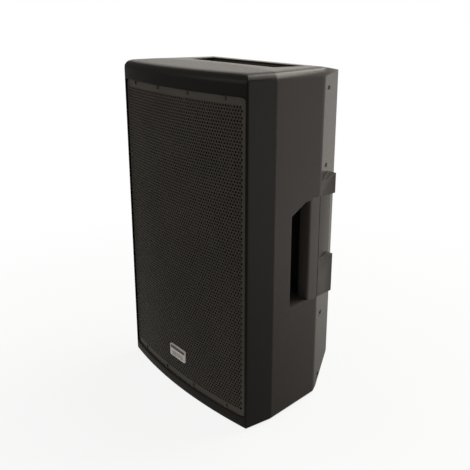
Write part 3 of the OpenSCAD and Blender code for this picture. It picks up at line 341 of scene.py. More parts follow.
# Nitrile rubber, moulded: deep black and dull
RUBBER = Finish("moulded_nitrile_rubber", "#191919", "#0f0f0f", 0.8, Pattern.SAND, 0.8, 0.05, wear=0.1,
                worn="#3a3a3a", dust=0.2)
# Closed-cell foam gasket
FOAM = Finish("closed_cell_foam", "#1b1b1b", "#0c0c0c", 0.92, Pattern.SAND, 0.9, 0.25, wear=0.0, contrast=0.9)
# Doped cloth: the weave shows through its black dressing
DOPED_CLOTH = Finish("doped_cotton_surround", "#202021", "#111112", 0.55, Pattern.WEAVE, 0.9, 0.12, sheen=0.15,
                     wear=0.0, contrast=0.7)
# Pressed paper pulp: matted fibres, dead black
PULP = Finish("pressed_paper_pulp", "#242425", "#141415", 0.85, Pattern.FIBRE, 2.2, 0.12, wear=0.0, sheen=0.1)
# Resin-dipped cotton: a warm brown-yellow weave
RESIN_CLOTH = Finish("resin_dipped_cotton", "#b9924f", "#7d5c28", 0.6, Pattern.WEAVE, 0.8, 0.12, wear=0.0, contrast=0.9)
# Enamelled copper wire
COPPER_WIRE = Finish("enamelled_copper_wire", "#b8713f", "#6e3c1c", 0.28, Pattern.WINDING, 0.4, 0.1, metallic=0.85,
                     coat=0.3, wear=0.0, contrast=0.9)
# Sintered ferrite: dark, stony, with pits
FERRITE = Finish("sintered_ferrite", "#47484b", "#2d2e31", 0.6, Pattern.SAND, 1.2, 0.08, wear=0.3, worn="#6d6e70")
# Phenolic board: brown-red paper laminate
PHENOLIC = Finish("phenolic_laminate", "#7c3326", "#571f17", 0.45, Pattern.FIBRE, 2.0, 0.02, wear=0.3, worn="#a56a58")
# Thin formed polyester film with a metallic back
FILM = Finish("formed_polyester_film", "#cfc9b2", "#a9a289", 0.25, Pattern.SMOOTH, 3.0, 0.01, metallic=0.6, wear=0.0)
# Green solder mask over fibreglass
SOLDER_MASK = Finish("green_solder_mask", "#2b6a3b", "#1c4a29", 0.3, Pattern.WEAVE, 0.7, 0.01, coat=0.4, wear=0.0)
# Shrink sleeve on capacitors
SHRINK_SLEEVE = Finish("pvc_shrink_sleeve", "#25395e", "#182845", 0.3, Pattern.SMOOTH, 4.0, 0.02, wear=0.1)
# Polyester tape over the transformer's copper
WOUND_TAPE = Finish("taped_copper_winding", "#b67c42", "#7c4e24", 0.4, Pattern.WINDING, 1.6, 0.12, wear=0.0,
                    contrast=0.9)
# Clear glass tube of the fuse
FUSE_GLASS = Finish("clear_fuse_glass", "#e8edef", "#d2d9dc", 0.06, Pattern.SMOOTH, 4.0, 0.002, clear=0.85, wear=0.0,
                    spread=0.02)
# Glossy moulded acrylic-styrene of the rocker
RED_GLOSS = Finish("glossy_red_abs", "#9c1a17", "#74100f", 0.22, Pattern.SMOOTH, 2.5, 0.01, coat=0.3, wear=0.2,
                   worn="#c96a60")
GREY_GLOSS = Finish("glossy_grey_abs", "#b4b7ba", "#969a9d", 0.28, Pattern.SMOOTH, 2.5, 0.01, wear=0.1, worn="#d6d8d9")
# Soft-touch paint over a moulded knob
SOFT_TOUCH = Finish("soft_touch_knob", "#2a2b2d", "#1b1c1e", 0.62, Pattern.SAND, 0.5, 0.03, edge_mm=0.4, wear=0.4,
                    worn="#56585a", sheen=0.1)
# Tinted polycarbonate lens with a small lamp behind it
LENS = Finish("tinted_polycarbonate_lens", "#4fbf5a", "#2f9a3d", 0.15, Pattern.SMOOTH, 2.0, 0.005, wear=0.0, glow=0.4)
# PVC sleeve of the lead
WIRE_SLEEVE = Finish("pvc_wire_sleeve", "#8a2522", "#651614", 0.45, Pattern.SMOOTH, 3.0, 0.02, wear=0.0)
# Polyester fluff: off-white, all fibres
FLUFF = Finish("polyester_wadding", "#e4e1d7", "#b8b4a6", 0.95, Pattern.FIBRE, 5.0, 1.6, wear=0.0, sheen=0.6,
               contrast=0.9)
# Screen-printed ink on the rear panel
PRINT_INK = Finish("white_screen_print", "#d8d9d6", "#b5b6b3", 0.6, Pattern.SAND, 0.6, 0.01, wear=0.0)
# Plated can of a potentiometer or a switch
PLATED_CAN = Finish("nickel_plated_can", "#9a9d98", "#70736f", 0.35, Pattern.SMOOTH, 2.0, 0.01, metallic=1.0, wear=0.2)

# ---------------------------------------------------------------- mesh helpers
Test = Callable[[Any], bool]


def publish(
    shape: bmesh.types.BMesh,
    name: str,
    finish: Finish,
    body: str = "cabinet",
    stands_for: Sequence[str] = (),
    sharp: float = 19.6,
    outward: bool = False,
) -> bpy.types.Object:
    """Turns a finished shape into a piece that rides on a body of the model.

    Args:
        shape: The shape, in the model's own frame and in metres. It is freed.
        name: Name of the piece.
        finish: What the piece is made of.
        body: The body that carries the piece.
        stands_for: Model pieces that this one replaces.
        sharp: Edges that turn by more than this many degrees stay crisp.
        outward: True to work the normals out again.

    Returns:
        The new object.
    """
    if outward:
        bmesh.ops.recalc_face_normals(shape, faces=shape.faces)
    limit = math.radians(sharp)
    for face in shape.faces:
        face.smooth = True
    for edge in shape.edges:
        edge.smooth = len(edge.link_faces) == 2 and edge.calc_face_angle(0.0) < limit
    mesh = bpy.data.meshes.new(name)
    shape.to_mesh(mesh)
    shape.free()
    made = bpy.data.objects.new(name, mesh)
    bpy.context.scene.collection.objects.link(made)
    mesh.materials.append(finish.material())
    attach(made, body)
    if stands_for:
        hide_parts(*stands_for)
    LOG.info("%s: %d faces", name, len(mesh.polygons))
    return made


def verts_of(geom: Sequence[Any]) -> list[bmesh.types.BMVert]:
    """Picks the vertices out of an operator's result.

    Args:
        geom: Vertices, edges and faces.

    Returns:
        The vertices.
    """
    return [g for g in geom if isinstance(g, bmesh.types.BMVert)]


def cut(shape: bmesh.types.BMesh, place: Sequence[float], normal: Sequence[float]) -> None:
    """Cuts a whole shape's faces along a plane, both halves kept.

    Args:
        shape: Shape that is changed.
        place: A point of the plane, in metres.
        normal: The plane's normal.
    """
    bmesh.ops.bisect_plane(shape, geom=shape.verts[:] + shape.edges[:] + shape.faces[:], plane_co=place,
                           plane_no=normal)


def even_shading(piece: bpy.types.Object) -> None:
    """Lets large flat faces rule the shading, so that only the roundings bend the light.

    Args:
        piece: Piece that gets the modifier.
    """
    even = piece.modifiers.new("even_shading", "WEIGHTED_NORMAL")
    even.keep_sharp = True
    even.weight = 80


def copy_of(node: str) -> bmesh.types.BMesh:
    """A merged copy of a model piece, its flat faces made whole.

    Args:
        node: Name of the model piece.

    Returns:
        The copy.
    """
    shape = bmesh.new()
    shape.from_mesh(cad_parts[node].data)
    bmesh.ops.remove_doubles(shape, verts=shape.verts, dist=0.01 * MM)
    bmesh.ops.dissolve_limit(shape, angle_limit=math.radians(0.5), verts=shape.verts, edges=shape.edges)
    return shape


def box(shape: bmesh.types.BMesh, low: Sequence[float], high: Sequence[float], round_mm: float = 0.0) -> list[Any]:
    """Adds a block with eased edges.

    Args:
        shape: Shape that gets the block.
        low: Lowest corner, in millimetres.
        high: Highest corner, in millimetres.
        round_mm: Radius of the eased edges.

    Returns:
        The block's vertices.
    """
    lo, hi = Vector(low) * MM, Vector(high) * MM
    made = bmesh.ops.create_cube(shape, size=1.0)["verts"]
    bmesh.ops.scale(shape, vec=hi - lo, verts=made)
    bmesh.ops.translate(shape, vec=(hi + lo) / 2, verts=made)
    if round_mm > 0:
        edges = list({e for v in made for e in v.link_edges})
        eased = bmesh.ops.bevel(shape, geom=edges, offset=round_mm * MM, affect="EDGES", segments=2, profile=0.5,
                                material=-1, clamp_overlap=True)
        made = list({v for f in eased["faces"] for v in f.verts})
    return made


def bevel_edges(shape: bmesh.types.BMesh, wanted: Test, radius_mm: float, segments: int) -> None:
    """Rounds the edges that a test picks.

    Args:
        shape: Shape that is changed.
        wanted: Test that picks edges.
        radius_mm: Width of the rounding.
        segments: Facets of the rounding.
    """
    edges = [e for e in shape.edges if len(e.link_faces) == 2 and wanted(e)]
    LOG.info("rounding %d edges", len(edges))
    bmesh.ops.bevel(shape, geom=edges, offset=radius_mm * MM, affect="EDGES", segments=segments, profile=0.5,
                    material=-1, clamp_overlap=False)


# ---------------------------------------------------------------- sub-assemblies
@dataclass
class TopRounding:
    """Full roundover along the cabinet's top edge, put on copies of the mouldings. Sizes in millimetres.

    Attributes:
        top: Height of the flat top.
        given: Radius of the model's own rounding.
        radius: Radius of the roundover.
        fall_from: Where the top starts to fall towards the back; behind that the model's own rounding stays.
        cuts: Heights below the top at which extra rings are cut.
        given_ring: The model's rounding as height below the top and distance in from the outline.
        near: How close a point must lie to count as being on the outline.
    """

    top: float = 690.0
    given: float = 11.0
    radius: float = 18.0
    fall_from: float = 65.0
    cuts: tuple[float, ...] = (18.0, 14.4, 3.2)
    given_ring: tuple[tuple[float, float], ...] = ((11.0, 0.0), (5.5, 1.474), (1.474, 5.5), (0.0, 11.0))
    near: float = 0.4
    corners: list[tuple[Vector, Vector]] = field(default_factory=list)
    sides: list[tuple[Vector, Vector, Vector]] = field(default_factory=list)

    def trace(self, shapes: Sequence[bmesh.types.BMesh]) -> None:
        """Reads the outline off the ring where the model's rounding starts.

        Args:
            shapes: The mouldings that share the outline.
        """
        level = (self.top - self.given) * MM
        ring = {(round(v.co.x / MM, 1), round(v.co.y / MM, 1)) for s in shapes for v in s.verts
                if abs(v.co.z - level) < 0.05 * MM and v.co.y < self.fall_from * MM}
        right = sorted((Vector(q) for q in ring if q[0] > 0.05), key=lambda q: math.atan2(q.y - self.fall_from, q.x))
        left = [Vector((-q.x, q.y)) for q in reversed(right)]
        middle = [Vector(q) for q in ring if abs(q[0]) <= 0.05]
        points = left + middle + right
        for a, b in zip(points, points[1:]):
            run = (b - a).normalized()
            self.sides.append((a, b, Vector((-run.y, run.x))))
        for (_, corner, before), (_, _, after) in zip(self.sides, self.sides[1:]):
            self.corners.append((corner, (before + after) / (1 + before.dot(after))))

    def _inset(self, below: float) -> float:
        """How far the roundover stands back from the outline.

        Args:
            below: Distance below the top.

        Returns:
            The distance, in millimetres.
        """
        if below >= self.radius:
            return 0.0
        return self.radius - math.sqrt(self.radius**2 - (self.radius - below) ** 2)

    def _given_inset(self, below: float) -> float:
        """How far the model's own rounding stands back from the outline.

        Args:
            below: Distance below the top.

        Returns:
            The distance, in millimetres.
        """
        inset = 0.0
        for (h0, d0), (h1, d1) in zip(self.given_ring, self.given_ring[1:]):
            if h1 <= below <= h0:
                inset = d0 + (d1 - d0) * (h0 - below) / (h0 - h1)
        return inset

    def _way_in(self, spot: Vector, inset: float) -> Optional[tuple[Vector, Vector]]:
        """Finds the outline point under a vertex and the direction inwards.

        Args:
            spot: The vertex seen from above.
            inset: How far it stands back now.

        Returns:
            The outline point and the direction, or None for a vertex that isn't on the rounding.
        """
        for corner, inward in self.corners:
            if (spot - corner - inward * inset).length < self.near:
                return corner, inward
        for a, b, inward in self.sides:
            along, across = (spot - a).dot((b - a).normalized()), (spot - a).dot(inward)
            if abs(across - inset) < self.near and -1 - inset < along < (b - a).length + 1 + inset:
                return spot - inward * across, inward
        return None

    def apply(self, shape: bmesh.types.BMesh) -> None:
        """Widens the rounding of one moulding.

        Args:
            shape: Shape that is changed.
        """
        for below in self.cuts:
            cut(shape, (0, 0, (self.top - below) * MM), (0, 0, 1))
        moved = 0
        for vert in shape.verts:
            below = self.top - vert.co.z / MM
            if below > self.radius + 0.1 or vert.co.y > self.fall_from * MM:
                continue
            spot = Vector((vert.co.x / MM, vert.co.y / MM))
            found = self._way_in(spot, self._given_inset(below))
            if found is None:
                continue
            base, inward = found
            new = base + inward * self._inset(below)
            vert.co.x, vert.co.y = new.x * MM, new.y * MM
            moved += 1
        LOG.info("top rounding: %d points", moved)


@dataclass
class Mouldings:
    """Front bezel, rear shell and the handle mouldings.

    Attributes:
        corner_mm: Radius of the bezel's two upright front corners.
        crease_mm: Half the width of the soft crease between side and rear facet.
        outer_mm: Least distance of an outer edge from the middle plane.
        smooth_deg: Steps up to this angle belong to one rounding.
    """

    corner_mm: float = 3.6
    crease_mm: float = 6.0
    outer_mm: float = 110.0
    smooth_deg: float = 36.0

    def _upright(self, edge: bmesh.types.BMEdge, least: float, most: float, least_mm: float) -> bool:
        """Says whether an edge is upright, outward, long, and turns by an angle in a range.

        Args:
            edge: Edge to test.
            least: Least angle, in degrees.
            most: Largest angle, in degrees.
            least_mm: Length that it must pass.

        Returns:
            True if it is such an edge.
        """
        a, b = (v.co for v in edge.verts)
        turn = math.degrees(edge.calc_face_angle_signed(0.0))
        return (
            abs(a.z - b.z) > max(0.95 * (a - b).length, least_mm * MM)
            and least < turn < most
            and min(abs(a.x), abs(b.x)) > self.outer_mm * MM
        )

    def build(self) -> None:
        """Builds the mouldings from the model's own shapes, with eased edges."""
        bezel, shell = copy_of("front_bezel"), copy_of("rear_shell")
        rounding = TopRounding()
        rounding.trace((bezel, shell))
        rounding.apply(bezel)
        rounding.apply(shell)
        front = min(v.co.y for v in bezel.verts if abs(v.co.x) > 216 * MM) + 1 * MM
        bevel_edges(bezel, lambda e: self._upright(e, 50, 110, 2) and max(v.co.y for v in e.verts) < front,
                    self.corner_mm, 4)
        bevel_edges(shell, lambda e: self._upright(e, 18, 60, 80), self.crease_mm, 4)
        even_shading(publish(bezel, "bezel_moulding", BEZEL_PLASTIC, stands_for=["front_bezel"],
                             sharp=self.smooth_deg))
        even_shading(publish(shell, "shell_moulding", SHELL_PLASTIC, stands_for=["rear_shell"],
                             sharp=self.smooth_deg))
        # the grip cups wear the grip finish, whose lighter colour is painted light
        for node, name in (("side_handle_right", "grip_cup_right"), ("side_handle_left", "grip_cup_left"),
                           ("top_handle", "top_grip_cup")):
            even_shading(publish(copy_of(node), name, GRIP_PLASTIC_PAINTED_LIGHTER, stands_for=[node],
                                 sharp=self.smooth_deg))


@dataclass
class PerforatedGrille:
    """Bowed steel sheet with staggered round holes, a plain rim and folded sides. All sizes in millimetres.

    Attributes:
        hole: Diameter of a hole.
        pitch: Distance between holes.
        sheet: Thickness of the sheet.
        half_w: Half the grille's width.
        z0: Lower edge.
        z1: Upper edge.
        corner: Corner radius.
        holes_x: Holes each side of the middle in an even row.
        rows: Number of rows.
        row_0: Height of the lowest row.
        bow_r: Radius of the bow.
        bow_y: The bow's axis along the depth.
        fold_y: How far back the folded sides reach.
        rim: Width of the plain rim before its inner edge is drawn in under the plain cells.
        behind: How far the rim lies behind the holes' sheet, so that the two never share a surface.
        weld: Points closer than this become one.
        strip: Width of the strips that let the rim bend.
        strips: Strips each side of the middle.
        flat_y: The rim's edge folds back only behind this depth.
        seam_row: Row at which the sheet is split into two pieces of a handy size.
    """

    hole: float = 5.0
    pitch: float = 7.0
    sheet: float = 1.5
    half_w: float = 211.0
    z0: float = 27.5
    z1: float = 649.5
    corner: float = 12.0
    holes_x: int = 29
    rows: int = 98
    row_0: float = 44.6
    bow_r: float = 1183.2
    bow_y: float = 1027.2
    fold_y: float = -127.0
    rim: float = 5.5
    behind: float = 0.03
    weld: float = 0.02
    strip: float = 14.0
    strips: int = 14
    flat_y: float = -137.0
    seam_row: int = 49
    row_step: float = field(init=False)

    def __post_init__(self) -> None:
        """Works out the distance between rows of a 60 degree stagger."""
        self.row_step = self.pitch * math.sqrt(3) / 2

    def _cell(self, shape: bmesh.types.BMesh, holed: bool) -> list[Any]:
        """Adds one six-sided cell of sheet round the origin, in the XZ plane.

        Args:
            shape: Shape that gets the cell.
            holed: False for a plain cell.

        Returns:
            The cell's geometry.
        """
        upright = Matrix.Rotation(math.radians(90), 4, "X")
        turned = upright @ Matrix.Rotation(math.radians(30), 4, "Z")
        rim = bmesh.ops.create_circle(shape, cap_ends=not holed, segments=6, radius=self.pitch / math.sqrt(3) * MM,
                                      matrix=turned)["verts"]
        if not holed:
            return rim + list({f for v in rim for f in v.link_faces}) + list({e for v in rim for e in v.link_edges})
        edges = list({e for v in rim for e in v.link_edges})
        bmesh.ops.subdivide_edges(shape, edges=edges, cuts=1)
        bore = bmesh.ops.create_circle(shape, segments=12, radius=self.hole / 2 * MM, matrix=upright)["verts"]
        ring = list({e for v in bore for e in v.link_edges})
        bmesh.ops.bridge_loops(shape, edges=shape.edges[:])
        wall = bmesh.ops.extrude_edge_only(shape, edges=ring)["geom"]
        bmesh.ops.translate(shape, vec=(0, self.sheet * MM, 0), verts=verts_of(wall))
        return shape.verts[:] + shape.edges[:] + shape.faces[:]

    def _repeat(self, shape: bmesh.types.BMesh, geom: list[Any], step: Vector, count: int) -> list[Any]:
        """Repeats geometry along a step, doubling it while that fits and then repeating the rest.

        Args:
            shape: Shape that is changed.
            geom: What is repeated.
            step: Distance from one copy to the next.
            count: Number of copies, the first included.

        Returns:
            All the copies.
        """
        whole, have = list(geom), 1
        while 2 * have <= count:
            copied = bmesh.ops.duplicate(shape, geom=whole)["geom"]
            bmesh.ops.translate(shape, vec=step * have, verts=verts_of(copied))
            whole, have = whole + copied, 2 * have
        if have < count:
            start = bmesh.ops.duplicate(shape, geom=geom)["geom"]
            bmesh.ops.translate(shape, vec=step * have, verts=verts_of(start))
            whole = whole + self._repeat(shape, start, step, count - have)
        return whole

    def _field(self, low: int, high: int) -> bmesh.types.BMesh:
        """Lays out the holes of the rows from low to high, with plain cells at the ends.

        Args:
            low: First row.
            high: Row after the last.

        Returns:
            The flat field.
        """
        whole = bmesh.new()
        for parity in (0, 1):
            rows = [r for r in range(low, high) if r % 2 == parity]
            count = 2 * self.holes_x if parity == 0 else 2 * self.holes_x - 1
            for holed, first, number, stride in ((True, 0, count, 1), (False, -1, 2, count + 1)):
                part = bmesh.new()
                cell = self._cell(part, holed)
                start = (first - (count - 1) / 2) * self.pitch * MM
                bmesh.ops.translate(part, vec=(start, 0, (self.row_0 + rows[0] * self.row_step) * MM), verts=part.verts)
                row = self._repeat(part, cell, Vector((self.pitch * stride * MM, 0, 0)), number)
                self._repeat(part, row, Vector((0, 0, 2 * self.row_step * MM)), len(rows))
                self._join(whole, part)
        return whole

    def _plain_rows(self, shape: bmesh.types.BMesh) -> None:
        """Adds a plain row under the lowest and over the highest row of holes.

        Args:
            shape: Shape that gets the rows.
        """
        for row in (-1, self.rows):
            count = 2 * self.holes_x + (2 if row % 2 == 0 else 1)
            part = bmesh.new()
            cell = self._cell(part, False)
            bmesh.ops.translate(part, vec=(-(count - 1) / 2 * self.pitch * MM, 0,
                                           (self.row_0 + row * self.row_step) * MM), verts=part.verts)
            self._repeat(part, cell, Vector((self.pitch * MM, 0, 0)), count)
            self._join(shape, part)

    @staticmethod
    def _join(whole: bmesh.types.BMesh, part: bmesh.types.BMesh) -> None:
        """Moves a part into the whole through a passing mesh.

        Args:
            whole: Shape that receives.
            part: Shape that is added and freed.
        """
        passing = bpy.data.meshes.new("passing")
        part.to_mesh(passing)
        part.free()
        whole.from_mesh(passing)
        bpy.data.meshes.remove(passing)

    def _rim(self) -> bmesh.types.BMesh:
        """Makes the plain rim with its round corners and its edge; its sides are folded afterwards, in build.

        Returns:
            The flat rim, a hair behind the field so that the two never share a surface.
        """
        rim = bmesh.new()
        bmesh.ops.create_grid(rim, x_segments=1, y_segments=1, size=0.5,
                              matrix=Matrix.Rotation(math.radians(90), 4, "X"))
        bmesh.ops.scale(rim, vec=(2 * self.half_w * MM, 1, (self.z1 - self.z0) * MM), verts=rim.verts)
        bmesh.ops.translate(rim, vec=(0, self.behind * MM, (self.z0 + self.z1) / 2 * MM), verts=rim.verts)
        bmesh.ops.bevel(rim, geom=rim.verts[:], offset=self.corner * MM, affect="VERTICES", segments=6, profile=0.5,
                        material=-1)
        ring = set(bmesh.ops.inset_region(rim, faces=rim.faces[:], thickness=self.rim * MM, use_boundary=True,
                                          use_even_offset=True)["faces"])
        middle = [f for f in rim.faces if f not in ring]
        # the window in the rim ends under the plain cells
        side = (self.holes_x * self.pitch + self.pitch / 4) * MM
        low, high = (self.row_0 - 0.8 * self.row_step) * MM, (self.row_0 + (self.rows - 0.2) * self.row_step) * MM
        for face in middle:
            for vert in face.verts:
                vert.co.x = math.copysign(min(abs(vert.co.x), side), vert.co.x)
                vert.co.z = min(max(vert.co.z, low), high)
        bmesh.ops.delete(rim, geom=middle, context="FACES_ONLY")
        bmesh.ops.remove_doubles(rim, verts=rim.verts, dist=self.weld * MM)
        outline = [e for e in rim.edges if e.is_boundary and any(
            abs(v.co.x) > side + 2 * MM or not low - 2 * MM < v.co.z < high + 2 * MM for v in e.verts)]
        lip = bmesh.ops.extrude_edge_only(rim, edges=outline)["geom"]
        bmesh.ops.translate(rim, vec=(0, self.sheet * MM, 0), verts=verts_of(lip))
        for i in range(-self.strips, self.strips + 1):
            cut(rim, (i * self.strip * MM, 0, 0), (1, 0, 0))
        return rim

    def _bow(self, shape: bmesh.types.BMesh) -> None:
        """Bends a flat shape to the grille's bow.

        Args:
            shape: Shape that is changed.
        """
        for vert in shape.verts:
            x = vert.co.x / MM
            vert.co.y += (self.bow_y - math.sqrt(self.bow_r**2 - x * x)) * MM

    def build(self) -> None:
        """Builds the sheet in two pieces and its rim."""
        for name, low, high in (("grille_lower", 0, self.seam_row), ("grille_upper", self.seam_row, self.rows)):
            sheet = self._field(low, high)
            if low == 0:
                self._plain_rows(sheet)
            self._bow(sheet)
            bmesh.ops.remove_doubles(sheet, verts=sheet.verts, dist=self.weld * MM)
            publish(sheet, name, POWDER_COAT, stands_for=["grille"], sharp=40)
        rim = self._rim()
        self._bow(rim)
        sides = [e for e in rim.edges if e.is_boundary
                 and all(abs(v.co.x) > (self.half_w - 0.1) * MM for v in e.verts)
                 and max(v.co.y for v in e.verts) > self.flat_y * MM]
        fold = bmesh.ops.extrude_edge_only(rim, edges=sides)["geom"]
        for vert in verts_of(fold):
            vert.co.y = self.fold_y * MM
        publish(rim, "grille_rim", POWDER_COAT, stands_for=["grille"], sharp=40)


@dataclass
class Badge:
    """Small plain plate at the foot of the grille. All sizes in millimetres.

    Attributes:
        width: Width of the plate.
        height: Height of the plate.
        centre_z: Height of its middle above the floor.
        front_y: Its face along the depth.
        back_y: Its back along the depth.
        corner: Radius of its corners.
        border: Width of the raised border.
        slope: Width of the border's inner slope.
        sunk: Depth of the field inside the border.
        margin: Distance from the plate's outline to the enamel.
        band: Height of the enamel band.
        ribs: Number of plain ribs.
        rib: Height of a rib.
        rib_step: Distance from one rib to the next.
        rib_low: Distance of the lowest rib below the plate's middle.
        rib_in: How far a rib ends short of the band.
    """

    width: float = 58.0
    height: float = 27.0
    centre_z: float = 88.0
    front_y: float = -159.2
    back_y: float = -156.0
    corner: float = 3.0
    border: float = 1.6
    slope: float = 0.3
    sunk: float = 0.5
    margin: float = 2.2
    band: float = 7.5
    ribs: int = 3
    rib: float = 1.1
    rib_step: float = 3.4
    rib_low: float = 9.6
    rib_in: float = 5.0

    def _plate(self) -> bmesh.types.BMesh:
        """Makes the plate with its raised border.

        Returns:
            The plate.
        """
        plate = bmesh.new()
        low, high = self.centre_z - self.height / 2, self.centre_z + self.height / 2
        made = box(plate, (-self.width / 2, self.front_y, low), (self.width / 2, self.back_y, high))
        upright = [e for e in plate.edges if abs(e.verts[0].co.y - e.verts[1].co.y) > 1 * MM]
        bmesh.ops.bevel(plate, geom=upright, offset=self.corner * MM, affect="EDGES", segments=4, profile=0.5,
                        material=-1)
        plate.faces.ensure_lookup_table()
        face = min(plate.faces, key=lambda f: f.calc_center_median().y)
        bmesh.ops.inset_region(plate, faces=[face], thickness=self.border * MM, depth=0.0)
        bmesh.ops.inset_region(plate, faces=[face], thickness=self.slope * MM, depth=-self.sunk * MM)
        return plate

    def build(self) -> None:
        """Builds the plate, its enamel band and its plain ribs."""
        publish(self._plate(), "badge_plate", BRUSHED_PLATE, stands_for=["badge"], outward=True)
        band = bmesh.new()
        inner = self.width / 2 - self.margin
        top = self.centre_z + self.height / 2 - self.margin
        face = self.front_y + 0.1
        box(band, (-inner, face, top - self.band), (inner, face + 0.6, top), 0.15)
        for i in range(self.ribs):
            z = self.centre_z - self.rib_low + self.rib_step * i
            end = inner - self.rib_in
            box(band, (-end, face + 0.1, z), (end, face + 0.6, z + self.rib), 0.15)
        publish(band, "badge_enamel", BADGE_ENAMEL, outward=True)


@dataclass
class Wadding:
    """Fluffy lining behind the upper back wall.

    Attributes:
        swell_mm: How far the fluff rises and falls.
        step_mm: Distance between the points of its surface.
        tuft_mm: Width of a tuft.
        curl_mm: Width of the small curls on it.
    """

    swell_mm: float = 5.0
    step_mm: float = 6.0
    tuft_mm: float = 14.0
    curl_mm: float = 5.0

    def build(self) -> None:
        """Builds the pad with an uneven, tufted face, inside the model's own solid."""
        low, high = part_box("damping_wadding")
        pad = bmesh.new()
        box(pad, low / MM, high / MM)
        for axis in range(3):
            count = max(1, round((high[axis] - low[axis]) / (self.step_mm * MM)))
            normal = Vector([1.0 if i == axis else 0.0 for i in range(3)])
            for i in range(1, count):
                cut(pad, low + normal * (high[axis] - low[axis]) * i / count, normal)
        centre = (low + high) / 2
        for vert in pad.verts:
            tuft = 0.5 + 0.5 * noise.noise(vert.co / (self.tuft_mm * MM))
            tuft += 0.3 * noise.noise(vert.co / (self.curl_mm * MM))
            inwards = (centre - vert.co).normalized()
            edge = sum(1 for i in range(3) if min(vert.co[i] - low[i], high[i] - vert.co[i]) < 0.1 * MM)
            vert.co += inwards * self.swell_mm * MM * max(0.0, tuft) * (1 + 0.6 * (edge - 1))
        made = publish(pad, "wadding_pad", FLUFF, stands_for=["damping_wadding"], sharp=180, outward=True)


@dataclass
class PanelPrint:
    """Plain marks printed on the rear panel: dial ticks and frames. All sizes in millimetres.

    Attributes:
        face_y: Face of the panel along the depth.
        ink: Thickness of the ink as drawn.
        dials: Middle of each knob, as x and z.
        frames: Printed frames, as x and z of the low corner and of the high one.
        line: Width of a frame's line.
        swing: Turn from the first tick to the middle one, in degrees.
        ticks: Ticks round a knob.
        tick_r: Distance of the ticks from the knob's middle.
    """

    face_y: float = 146.0
    ink: float = 0.12
    dials: tuple[tuple[float, float], ...] = ((-58, 330), (-8, 330), (-58, 280), (-8, 280))
    frames: tuple[tuple[float, float, float, float], ...] = (
        (-79, 258, -37, 410), (-29, 258, 13, 410),  # one channel each
        (22, 258, 70, 356),  # outputs and lift
        (-70, 155, 70, 222),  # mains
    )
    line: float = 0.6
    swing: float = 150.0
    ticks: int = 11
    tick_r: float = 11.2

    def _bar(self, shape: bmesh.types.BMesh, x0: float, x1: float, z0: float, z1: float) -> list[Any]:
        """Adds one printed bar.

        Args:
            shape: Shape that gets the bar.
            x0: Left end.
            x1: Right end.
            z0: Lower edge.
            z1: Upper edge.

        Returns:
            Its vertices.
        """
        return box(shape, (x0, self.face_y, z0), (x1, self.face_y + self.ink, z1))

    def _dial(self, shape: bmesh.types.BMesh, x: float, z: float) -> None:
        """Adds eleven ticks round a knob.

        Args:
            shape: Shape that gets the ticks.
            x: Middle of the knob.
            z: Middle of the knob.
        """
        centre = Vector((x * MM, self.face_y * MM, z * MM))
        middle = self.ticks // 2
        for i in range(self.ticks):
            long = 3.4 if i % middle == 0 else 2.2
            tick = self._bar(shape, x - 0.35, x + 0.35, z + self.tick_r, z + self.tick_r + long)
            turn = Matrix.Rotation(math.radians(self.swing * (i - middle) / middle), 3, "Y")
            bmesh.ops.rotate(shape, verts=tick, cent=centre, matrix=turn)

    def _frame(self, shape: bmesh.types.BMesh, x0: float, x1: float, z0: float, z1: float) -> None:
        """Adds a thin printed frame.

        Args:
            shape: Shape that gets the frame.
            x0: Left side.
            x1: Right side.
            z0: Lower side.
            z1: Upper side.
        """
        line = self.line
        for a, b, c, d in ((x0, x1, z0, z0 + line), (x0, x1, z1 - line, z1),
                           (x0, x0 + line, z0 + line, z1 - line), (x1 - line, x1, z0 + line, z1 - line)):
            self._bar(shape, a, b, c, d)

    def build(self) -> None:
        """Builds all the marks as one piece."""
        marks = bmesh.new()
        for x, z in self.dials:
            self._dial(marks, x, z)
        for x0, z0, x1, z1 in self.frames:
            self._frame(marks, x0, x1, z0, z1)
        publish(marks, "panel_print", PRINT_INK, outward=True)


